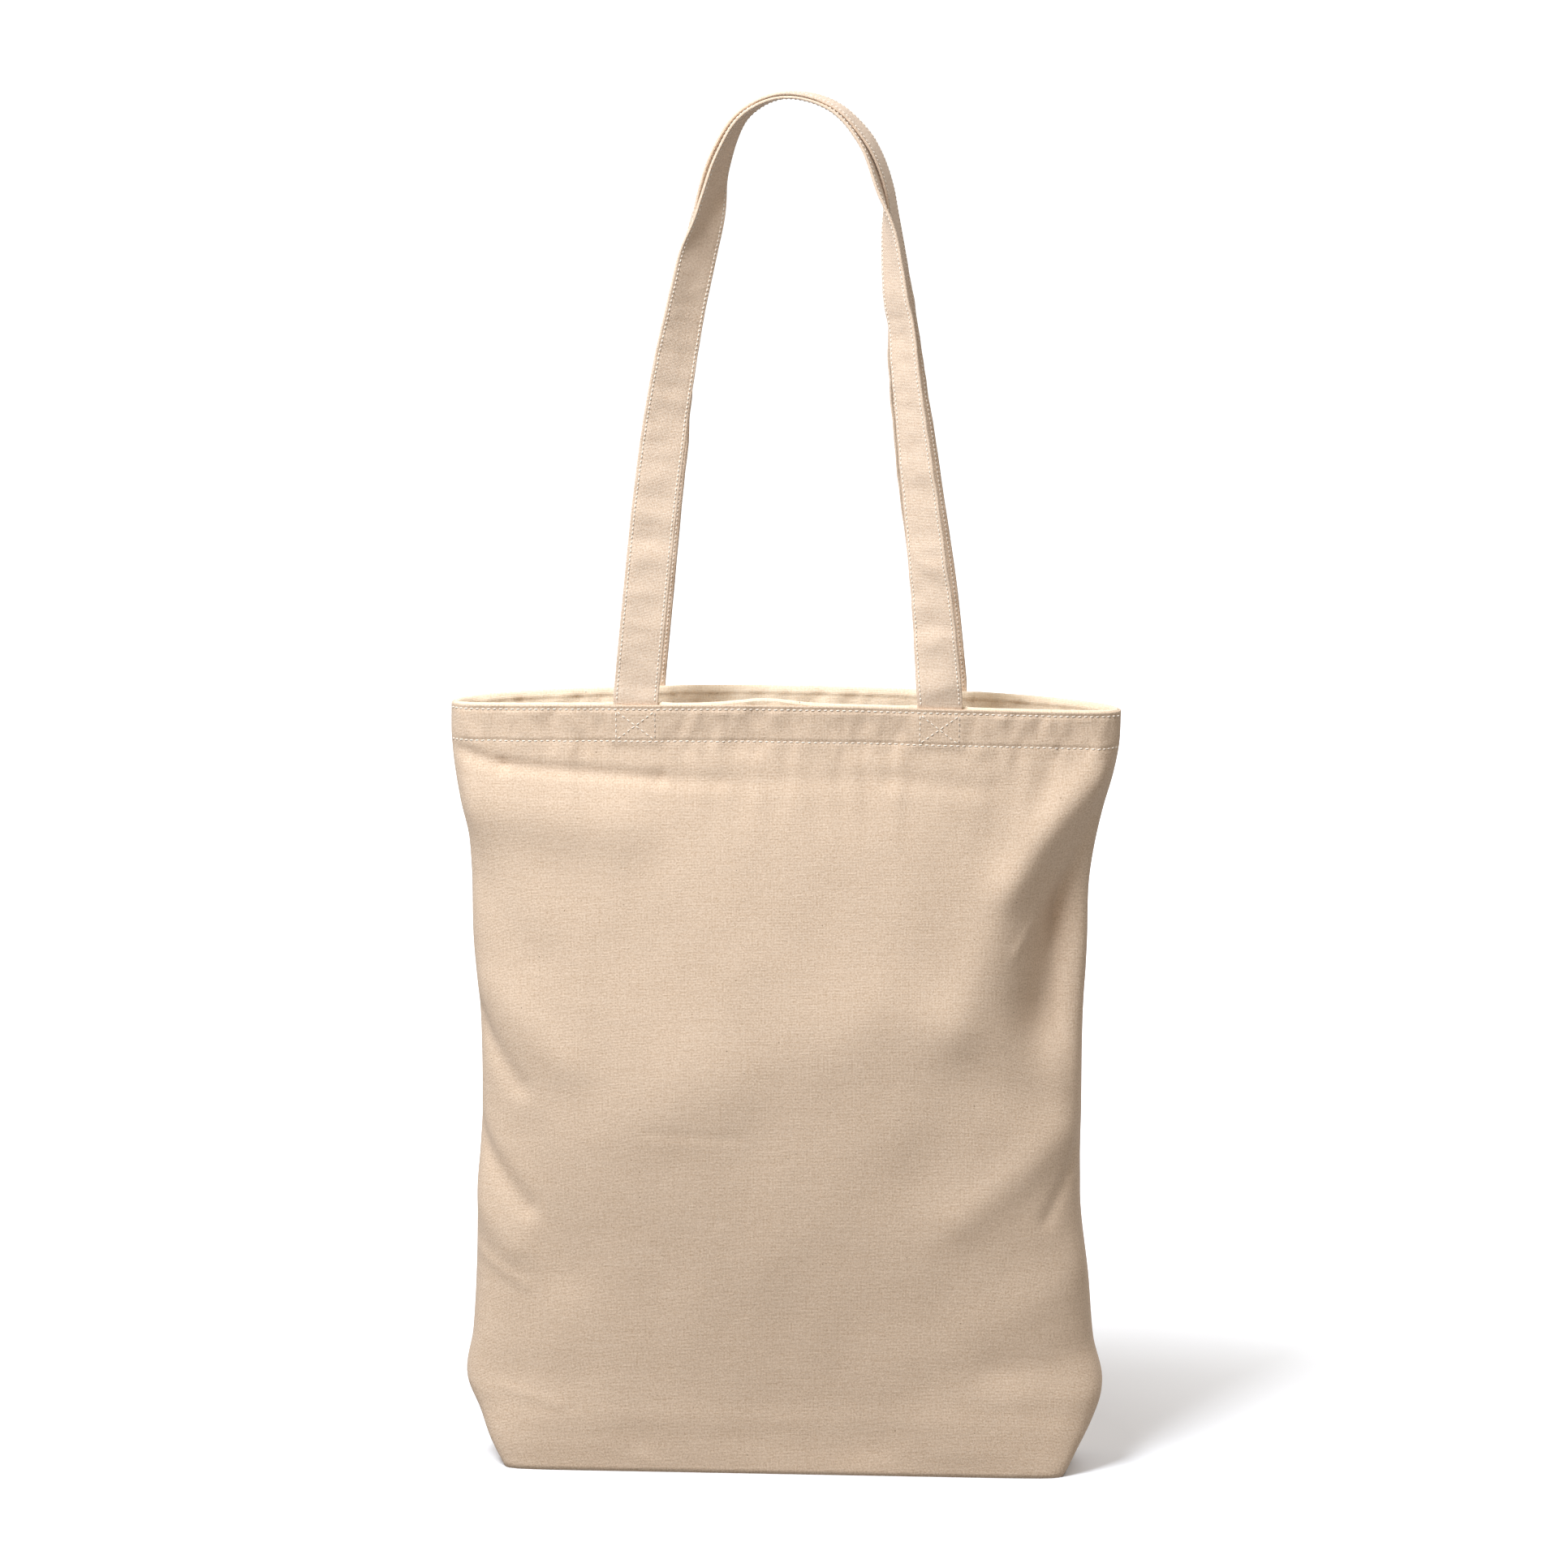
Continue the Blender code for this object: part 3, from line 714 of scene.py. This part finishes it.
def panel(name, side, node, material):
    """One canvas panel: folded edge at the mouth, hem, body, and half of the base."""
    u = np.linspace(-HALF_CLOTH, HALF_CLOTH, COLUMNS)
    heights, insets = hem_fold()
    down = np.linspace(RIM - HEM_DEPTH, 0.0, BODY_ROWS)[1:]
    points = cloth_grid(side, u, np.array([*heights, *down]), [*insets, *([0.0] * len(down))])
    points = np.concatenate([points, base_grid(points[-1])])
    piece = thicken(sheet_object(name, points, u, side == FRONT), offset=-1.0)
    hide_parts(node)
    return finish_piece(piece, material)


def facing_insets(u):
    """How far the facing lies behind the panel's face: further where a strap end lies between them."""
    from_strap = distance_from_straps(u) - STRAP_WIDTH / 2
    return FACING_INSET + FACING_BULGE * (1 - ease(from_strap / FACING_BULGE_FADE))


def facing(name, side, node, material):
    """The band of canvas inside the mouth. At the front it stands a little above the rim in the middle."""
    reach = HALF_CLOTH - FACING_FROM_SEAM
    u = np.linspace(-reach, reach, COLUMNS)
    heights, folded = hem_fold()
    base = facing_insets(u)
    # its own fold faces the panel, so the lip is outside and the long side is inside
    insets = [base + 2 * FOLD_RADIUS - fold for fold in folded]
    # its lower edge is turned under
    low = RIM - HEM_DEPTH
    heights = np.array([*heights, low - CLOTH / 2, low + CLOTH / 2, low + LIP])
    insets = np.array([*insets, base + FOLD_RADIUS, base + CLOTH / 4, base])
    points = cloth_grid(side, u, heights, insets)
    if side == FRONT:
        top = ease((heights - (RIM - FACING_RISE_DEPTH)) / FACING_RISE_DEPTH)
        rise = np.outer(top, FACING_RISE * bell((u - FACING_RISE_AT) / FACING_RISE_REACH))
        points[..., 2] += rise
        points[..., 1] -= side * rise * FACING_RISE_LEAN
    piece = thicken(sheet_object(name, points, u, side == BACK), offset=1.0)
    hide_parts(node)
    return finish_piece(piece, material)


# --- Stitches ---


def stitch_shape(length, radius):
    """One stitch along +X: a thread that rises out of one needle hole and dips into the next."""
    rings, sides = STITCH_RINGS, STITCH_SIDES
    turn = np.linspace(0.0, 2 * math.pi, sides, endpoint=False)
    points = []
    for at in np.linspace(-1.0, 1.0, rings):
        thin = radius * (1 - STITCH_THINNING * at**4)
        dip = -STITCH_DIP * radius * abs(at) ** 3
        points += [(at * length / 2, thin * math.cos(t), dip + thin * math.sin(t)) for t in turn]
    points = np.array(points)
    faces = grid_faces(rings, sides, flip=True, closed=True) + end_faces(rings, sides)
    uv = np.stack([points[:, 0], np.tile(turn / (2 * math.pi), rings)], axis=1)
    return points, faces, uv


def stitches(name, path, normals, pitch, material, nodes=(), body="bag", radius=THREAD_RADIUS, slant=0.0):
    """A row of single stitches along a path, joined into one piece."""
    along = distances_along(path)
    count = max(1, int(along[-1] / pitch))
    holes = np.linspace(0.0, along[-1], count + 1)
    halfway = (holes[1:] + holes[:-1]) / 2
    middles = read_path(path, along, halfway)
    out = unit(read_path(normals, along, halfway))
    run = unit(read_path(path, along, holes[1:]) - read_path(path, along, holes[:-1]))
    run = unit(run * math.cos(slant) + unit(np.cross(out, run)) * math.sin(slant))
    aside = np.cross(out, run)
    shape, faces, uv = stitch_shape(along[-1] / count * STITCH_SHARE, radius)
    points = middles[:, None] + sum(
        shape[None, :, k : k + 1] * way[:, None] for k, way in enumerate((run, aside, out))
    )
    every = [[i + k * len(shape) for i in face] for k in range(count) for face in faces]
    piece = mesh_object(name, points.reshape(-1, 3), every, np.tile(uv, (count, 1)))
    if nodes:
        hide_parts(*nodes)
    return finish_piece(piece, material, body)


def cloth_line(side, u, heights, inset):
    """Points and outward directions along a line on the cloth."""
    u, heights = np.asarray(u, float), np.broadcast_to(heights, np.shape(u))
    points, ways = [], []
    for one_u, height in zip(u, heights):
        points.append(cloth_grid(side, np.array([one_u]), np.array([height]), [inset])[0, 0])
        ways.append(outward(side, np.array([one_u]), np.array([height]))[0, 0])
    return np.array(points), np.array(ways)


def hem_stitching(side, word, material):
    """The upper and the lower row of stitches along the hem, seen on both sides."""
    lift = THREAD_RADIUS * HEM_STITCH_LIFT
    reach = HALF_CLOTH - STITCHES_FROM_SEAM
    u = np.linspace(-reach, reach, ROW_SAMPLES)
    inner = facing_insets(u) + 2 * FOLD_RADIUS + lift
    for row, drop in (("upper", UPPER_STITCH_DROP), ("lower", LOWER_STITCH_DROP)):
        height = np.array([RIM - drop])
        ways = outward(side, u, height)[0]
        name = f"{word}_hem_{row}_stitches"
        node = f"{word}_hem_{row}_stitching"
        path = cloth_grid(side, u, height, [-lift])[0]
        stitches(name, path, ways, HEM_PITCH, material, [node], slant=HEM_STITCH_SLANT)
        path = cloth_grid(side, u, height, inner[None, :])[0]
        stitches(name + "_inside", path, -ways, HEM_PITCH, material, slant=HEM_STITCH_SLANT)


# --- Straps ---


def handle_frames(side):
    """Points along the free handle with the directions across it and out of its outer face."""
    feet_at = np.array([STRAP_AT[LEFT], STRAP_AT[RIGHT]])
    feet = cloth_grid(side, feet_at, np.array([RIM]), [HANDLE_FOOT_INSET])[0]
    foot = feet[:, 1].mean()
    knots = np.array(HANDLE_ROUTE)
    knots[[0, -1], 0] = feet[:, 0]
    at = distances_along(knots[:, :2])
    at /= at[-1]
    where = np.linspace(0.0, 1.0, STRAP_SAMPLES)
    route = hermite(at, knots, where)
    ahead = hermite(at, knots, np.minimum(where + TANGENT_STEP, 1.0))
    behind = hermite(at, knots, np.maximum(where - TANGENT_STEP, 0.0))
    x, rise = route[:, 0], route[:, 1]
    tangent = np.stack([ahead[:, 0] - behind[:, 0], 0 * x, ahead[:, 1] - behind[:, 1]], axis=1)
    tangent = unit(tangent)
    outer = np.stack([-tangent[:, 2], 0 * x, tangent[:, 0]], axis=1)
    top = knots[:, 1].max()
    share = np.clip(rise / top, 0.0, 1.0)
    nest = route[:, 4] if side == BACK else 0 * x
    height = RIM + HANDLE_START + rise * (1 - HANDLE_START / top)
    centres = np.stack([x, foot * (1 - share**MEETING), height], axis=1) + outer * nest[:, None]
    twist = np.radians(route[:, 2] if side == FRONT else route[:, 3])[:, None]
    across = unit(outer * np.cos(twist) + np.array([0.0, side, 0.0]) * np.sin(twist))
    return centres, across


def strap_frames(side):
    """The whole strap, from one sewn end in the hem over the handle to the other."""
    centres, across = handle_frames(side)
    drops = np.linspace(STRAP_END_DROP, CLOTH, STRAP_END_ROWS)
    ends = []
    for sign in (LEFT, RIGHT):
        u = np.full(len(drops), STRAP_AT[sign])
        points, _ = cloth_line(side, u, RIM - drops, STRAP_INSET)
        ways = unit(cloth_line(side, u + NORMAL_STEP, RIM - drops, STRAP_INSET)[0] - points)
        ends.append((points, ways))
    (left, left_way), (right, right_way) = ends
    # the outer edge of the left end is its -X edge, and of the right end its +X edge
    points = np.concatenate([left, centres, right[::-1]])
    ways = np.concatenate([-left_way, across, right_way[::-1]])
    along = distances_along(points)
    where = np.linspace(0.0, along[-1], STRAP_SAMPLES)
    points = read_path(points, along, where)
    ways = read_path(ways, along, where)
    for _ in range(STRAP_SMOOTHING):
        points[1:-1] = (points[:-2] + 2 * points[1:-1] + points[2:]) / 4
        ways[1:-1] = (ways[:-2] + 2 * ways[1:-1] + ways[2:]) / 4
    tangent = unit(np.gradient(points, axis=0))
    ways = unit(ways - tangent * (ways * tangent).sum(1, keepdims=True))
    return points, ways, tangent, where


def on_strap(side, frames, width, lift):
    """Points and outward directions at a width across the strap and a lift off its middle surface.
    At the front strap's left shoulder the fold runs slantwise, so the inner edge turns later."""
    centres, ways, tangent, along = frames
    slant = 0.0
    if side == FRONT:
        slant = SHOULDER_SLANT * bell((along[:, None] - SHOULDER_AT * along[-1]) / SHOULDER_REACH)
    across = unit(read_path(ways, along, along[:, None] + slant * width))
    face = unit(np.cross(np.broadcast_to(tangent[:, None], across.shape), across)) * -side
    return centres[:, None] + across * width[..., None] + face * lift[..., None], face


def strap_relief(side, along, across):
    """Soft bends of the strap: how far its middle surface stands out at a place along and across it."""
    spots = np.stack([along, across, np.full_like(along, STRAP_SEED + side)], axis=-1)
    bends = sum(
        height * roughness_of(spots * (1.0, stretch, 1.0), size) for height, size, stretch in STRAP_BENDS
    )
    edge = np.abs(across) / (STRAP_WIDTH / 2)
    return bends * (1 - EDGE_STIFFNESS * edge)


def strap_profile():
    """Outline of the folded strap across its width: (across, out) with round edges, sunk stitch lines."""
    half, thick = STRAP_WIDTH / 2, STRAP_THICKNESS / 2
    flat = np.linspace(-half + thick, half - thick, PROFILE_SAMPLES)
    sunk = STITCH_SUNK * bell((np.abs(flat) - (half - EDGE_STITCH_INSET)) / STITCH_SUNK_HALF_WIDTH)
    turn = np.linspace(-math.pi / 2, math.pi / 2, PROFILE_EDGE_SAMPLES)[1:-1]
    bottom = np.stack([flat, -thick + sunk], axis=1)
    right = np.stack([half - thick + thick * np.cos(turn), thick * np.sin(turn)], axis=1)
    top = np.stack([flat[::-1], thick - sunk[::-1]], axis=1)
    left = np.stack([-half + thick - thick * np.cos(turn), -thick * np.sin(turn)], axis=1)
    return np.concatenate([bottom, right, top, left])


def blended(piece):
    """Bakes the place of a piece of the strap into its mesh."""
    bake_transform(piece)
    return piece


def strap(side, word, material):
    """One strap of folded canvas: sewn end, free handle, sewn end."""
    frames = strap_frames(side)
    along = frames[3]
    profile = strap_profile()
    rows, columns = len(along), len(profile)
    where = np.repeat(along[:, None], columns, axis=1)
    width = np.repeat(profile[None, :, 0], rows, axis=0)
    lift = strap_relief(side, where, width) * slack(along)[:, None] + profile[None, :, 1]
    points, _ = on_strap(side, frames, width, lift)
    ends = end_faces(rows, columns)
    if side == FRONT:
        ends = [face[::-1] for face in ends]
    faces = grid_faces(rows, columns, flip=side == BACK, closed=True) + ends
    uv = np.stack([np.tile(distances_along(profile), rows), np.repeat(along, columns)], axis=1)
    piece = mesh_object(f"{word}_strap", points.reshape(-1, 3), faces, uv)
    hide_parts(f"{word}_handle_loop", f"{word}_handle_left_end", f"{word}_handle_right_end")
    finish_piece(piece, material, None)
    return blended(piece)


def slack(along):
    """0 where the strap is sewn down, 1 where it is free, and little where both straps lie together."""
    free = ease((np.minimum(along, along[-1] - along) - STRAP_END_DROP) / END_FADE)
    together = ease((TOGETHER_REACH - np.abs(along - along[-1] / 2)) / TOGETHER_FADE)
    return free * (1 - TOGETHER_HOLD * together)


def strap_stitching(side, word, material):
    """Both rows of stitches, on both faces of the free handle."""
    frames = strap_frames(side)
    along = frames[3]
    offset = STRAP_WIDTH / 2 - EDGE_STITCH_INSET
    start = STRAP_END_DROP + EDGE_STITCHES_START
    free = (along > start) & (along < along[-1] - start)
    rise = STRAP_THICKNESS / 2 - STITCH_SUNK + THREAD_RADIUS * STRAP_STITCH_LIFT
    for edge, edge_word in ((1, "outer"), (-1, "inner")):
        width = np.full((len(along), 1), edge * offset)
        bend = strap_relief(side, along[:, None], width) * slack(along)[:, None]
        for way, face_word in ((1, ""), (-1, "_inside")):
            path, face = on_strap(side, frames, width, bend + way * rise)
            path, normals = path[free, 0], way * face[free, 0]
            name = f"{word}_strap_{edge_word}_stitches{face_word}"
            nodes = [f"{word}_handle_{edge_word}_stitching"] if way > 0 else []
            piece = stitches(name, path, normals, EDGE_PITCH, material, nodes, body=None)
            blended(piece)


def box_stitching(side, word, end_word, sign, material):
    """The box with a cross that holds a strap end, through the hem, seen on both sides."""
    middle = STRAP_AT[sign]
    half = STRAP_WIDTH / 2 - EDGE_STITCH_INSET
    top, low = RIM - UPPER_STITCH_DROP - BOX_CLEARANCE, RIM - LOWER_STITCH_DROP + BOX_CLEARANCE
    # up the left edge, down across, up the right edge, down across, and the right edge a second time
    corners = [(-half, low), (-half, top), (half, low), (half, top), (-half, low)]
    runs = [*zip(corners, corners[1:]), ((half, low), (half, top))]
    share = np.linspace(BOX_RUN_INSET, 1 - BOX_RUN_INSET, BOX_SAMPLES)
    inner = FACING_INSET + FACING_BULGE + 2 * FOLD_RADIUS
    for face_word, inset, way in (("", 0.0, 1), ("_inside", inner, -1)):
        lift = inset - way * THREAD_RADIUS * BOX_STITCH_LIFT
        made = []
        for (u1, z1), (u2, z2) in runs:
            u = middle + u1 + (u2 - u1) * share
            path, normals = cloth_line(side, u, z1 + (z2 - z1) * share, lift)
            run = stitches("run", path, normals * way, BOX_PITCH, material, body=None, radius=BOX_THREAD)
            made.append(run)
        piece = join(f"{word}_{end_word}_box_stitches{face_word}", made)
        if way > 0:
            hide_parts(f"{word}_{end_word}_box_stitching")
        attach(piece, "bag")


def join(name, made):
    """Joins objects into one with this name."""
    bpy.ops.object.select_all(action="DESELECT")
    for one in made:
        one.select_set(True)
    bpy.context.view_layer.objects.active = made[0]
    bpy.ops.object.join()
    made[0].name = name
    made[0].data.name = name
    return made[0]


# --- Seams inside the bag ---


def overlock(name, path, way, normal, material):
    """Overlock threads wound round the cut edge of a seam allowance: path is the allowance's middle,
    way the direction from the seam to the cut edge."""
    along = distances_along(path)
    where = np.linspace(0.0, along[-1], int(along[-1] / OVERLOCK_PITCH * OVERLOCK_SAMPLES))
    phase = 2 * math.pi * where / OVERLOCK_PITCH
    reach, thick = OVERLOCK_REACH, SEAM_THICKNESS / 2 + THREAD_RADIUS
    # the thread lies flat on both faces, and turns sharply round the edge
    squared = np.sign(np.sin(phase)) * np.abs(np.sin(phase)) ** OVERLOCK_POWER
    points = read_path(path, along, where)
    points += way * (SEAM_WIDTH / 2 - reach + reach * np.cos(phase) * OVERLOCK_SWING)[:, None]
    points += normal * (thick * squared)[:, None]
    curve = bpy.data.curves.new(name, "CURVE")
    curve.dimensions = "3D"
    curve.bevel_depth = THREAD_RADIUS * OVERLOCK_THREAD
    curve.bevel_resolution = 1
    line = curve.splines.new("POLY")
    line.points.add(len(points) - 1)
    line.points.foreach_set("co", np.concatenate([points, np.ones((len(points), 1))], axis=1).ravel())
    tube = placed(name, curve)
    mesh = bpy.data.meshes.new_from_object(tube)
    bpy.data.objects.remove(tube)
    mesh.uv_layers.new(name="cloth")
    mesh.shade_smooth()
    finish_piece(placed(name, mesh), material)


def allowance(name, path, way, normal, canvas, thread, node):
    """A seam's allowance: two layers of canvas with an overlocked edge."""
    outline = np.array(SEAM_OUTLINE)
    rows, columns = len(path), len(outline)
    widths, depths = outline[None, :, 0:1], outline[None, :, 1:2]
    points = path[:, None] + way * widths * SEAM_WIDTH + normal * depths * SEAM_THICKNESS
    # the layers wave as one, and most at the cut edge, which is the middle point of the outline
    wave = roughness_of(points, SEAM_WAVE_SIZE)[:, columns // 2, None, None] * SEAM_WAVE
    points += normal * wave * (widths + 0.5)
    ends = [face[::-1] for face in end_faces(rows, columns)]
    faces = grid_faces(rows, columns, closed=True) + ends
    around = np.arange(columns) * SEAM_OUTLINE_STEP
    uv = np.stack([np.tile(around, rows), np.repeat(distances_along(path), columns)], axis=1)
    piece = mesh_object(name, points.reshape(-1, 3), faces, uv, smooth=False)
    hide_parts(node)
    finish_piece(piece, canvas)
    overlock(name + "_overlock", path, way, normal, thread)


def inner_seams(canvas, thread):
    """The side seams, the seams that box the corners, and the seam along the base."""
    along_x, along_y, up = np.eye(3)
    for sign, word in ((LEFT, "left"), (RIGHT, "right")):
        heights = np.linspace(RIM - SIDE_SEAM_DROP, SEAM_FOOT, SIDE_SEAM_ROWS)
        edge = body_surface(FRONT, np.array([sign * HALF_CLOTH]), heights)[:, 0]
        inset = FACING_INSET + SEAM_WIDTH / 2
        path = np.stack([edge[:, 0] - sign * inset, 0 * heights, edge[:, 2]], axis=1)
        node = f"{word}_side_seam"
        allowance(f"{word}_side_allowance", path, -sign * along_x, along_y, canvas, thread, node)
        y = np.linspace(-CORNER_SEAM_REACH, CORNER_SEAM_REACH, CORNER_SEAM_ROWS)
        x = sign * (BASE_HALF_WIDTH - CORNER_SEAM_INSET)
        path = np.stack([0 * y + x, y, 0 * y + CORNER_SEAM_LIFT + SEAM_WIDTH / 2], axis=1)
        node = f"{word}_corner_seam"
        allowance(f"{word}_corner_allowance", path, up, along_x, canvas, thread, node)
    x = np.linspace(-BOTTOM_SEAM_REACH, BOTTOM_SEAM_REACH, BOTTOM_SEAM_ROWS)
    path = np.stack([x, 0 * x, 0 * x + BOTTOM_SEAM_LIFT], axis=1)
    allowance("bottom_allowance", path, along_y, up, canvas, thread, "bottom_seam")


# --- Scene ---


def stage():
    """A white floor that only the camera sees as white, so that it throws little light back up."""
    n = Nodes("white_paper")
    seen = n.add("ShaderNodeLightPath").outputs["Is Camera Ray"]
    n.plug(n.shader.inputs["Base Color"], n.mix(seen, FLOOR_GREY, FLOOR_WHITE))
    n.plug(n.shader.inputs["Roughness"], 1.0)
    n.plug(n.shader.inputs["Specular IOR Level"], 0.0)
    place = n.add("ShaderNodeTexCoord").outputs["Object"]
    away = n.add("ShaderNodeVectorMath", {"operation": "LENGTH"}, i0=place).outputs["Value"]
    near_glow, far_glow = FLOOR_GLOW
    glow = n.math("MULTIPLY_ADD", n.ramp(away, *FLOOR_FADE), far_glow - near_glow, near_glow)
    n.plug(n.shader.inputs["Emission Color"], GLOW_COLOUR)
    n.plug(n.shader.inputs["Emission Strength"], n.times(seen, glow))
    corners = [(x * FLOOR_SIZE, y * FLOOR_SIZE, 0) for x, y in ((-1, -1), (1, -1), (1, 1), (-1, 1))]
    floor = mesh_object("floor", corners, [[0, 1, 2, 3]])
    floor.data.materials.append(n.material)


def soft_box(name, azimuth, elevation, distance, size, power):
    """A square light aimed at the middle of the bag; azimuth turns from -Y towards -X."""
    data = bpy.data.lights.new(name, "AREA")
    data.shape = "SQUARE"
    data.size = size
    data.energy = power
    data.color = LIGHT_COLOUR
    lamp = placed(name, data)
    turn, lift = math.radians(azimuth), math.radians(elevation)
    way = Vector((-math.sin(turn) * math.cos(lift), -math.cos(turn) * math.cos(lift), math.sin(lift)))
    lamp.location = Vector(LIGHT_TARGET) + way * distance
    lamp.rotation_mode = "QUATERNION"
    lamp.rotation_quaternion = (-way).to_track_quat("-Z", "Y")


def lighting():
    """An even white room, with a key light at the front left and a fill light behind at the right."""
    world = bpy.data.worlds.new("white_room")
    world.use_nodes = True
    background = world.node_tree.nodes["Background"]
    background.inputs["Color"].default_value = WORLD_COLOUR
    background.inputs["Strength"].default_value = WORLD_LIGHT
    bpy.context.scene.world = world
    soft_box("key_light", *KEY_LIGHT)
    soft_box("fill_light", *FILL_LIGHT)
    bpy.context.scene.view_settings.view_transform = "Standard"


def camera():
    """A long lens a little above the bag and a little to its right, tilted down at it."""
    data = bpy.data.cameras.new("camera")
    data.sensor_width = CAMERA_SENSOR
    data.lens = CAMERA_LENS
    data.clip_end = 100.0
    eye = placed("camera", data)
    right = Vector((math.cos(CAMERA_AZIMUTH), math.sin(CAMERA_AZIMUTH), 0.0))
    back = Vector((math.sin(CAMERA_AZIMUTH), -math.cos(CAMERA_AZIMUTH), 0.0))
    eye.location = back * CAMERA_DISTANCE + right * CAMERA_ASIDE + Vector((0.0, 0.0, CAMERA_HEIGHT))
    ahead = -back * math.cos(CAMERA_PITCH) - Vector((0.0, 0.0, math.sin(CAMERA_PITCH)))
    eye.rotation_mode = "QUATERNION"
    eye.rotation_quaternion = ahead.to_track_quat("-Z", "Y")
    bpy.context.scene.camera = eye


def build():
    camera()
    lighting()
    stage()
    canvas = canvas_material("canvas", CANVAS_LIGHT, CANVAS_DARK)
    # the straps get a lighter copy of the canvas: painted light, for the light that shines through them
    strap_canvas_painted_light = canvas_material("strap_canvas", STRAP_LIGHT, STRAP_DARK)
    # the facing gets a lighter copy of the canvas: painted light, for the light that shines through the
    # cloth into the mouth
    facing_canvas_painted_light = canvas_material("facing_canvas", FACING_LIGHT, FACING_DARK)
    thread = thread_material()
    for word, side in (("front", FRONT), ("back", BACK)):
        body = panel(f"{word}_canvas", side, f"{word}_panel", canvas)
        band = facing(f"{word}_hem_facing", side, f"{word}_facing", facing_canvas_painted_light)
        hem_stitching(side, word, thread)
        loop = strap(side, word, strap_canvas_painted_light)
        strap_stitching(side, word, thread)
        for end_word, sign in (("left", LEFT), ("right", RIGHT)):
            box_stitching(side, word, end_word, sign, thread)
    inner_seams(canvas, thread)


build()
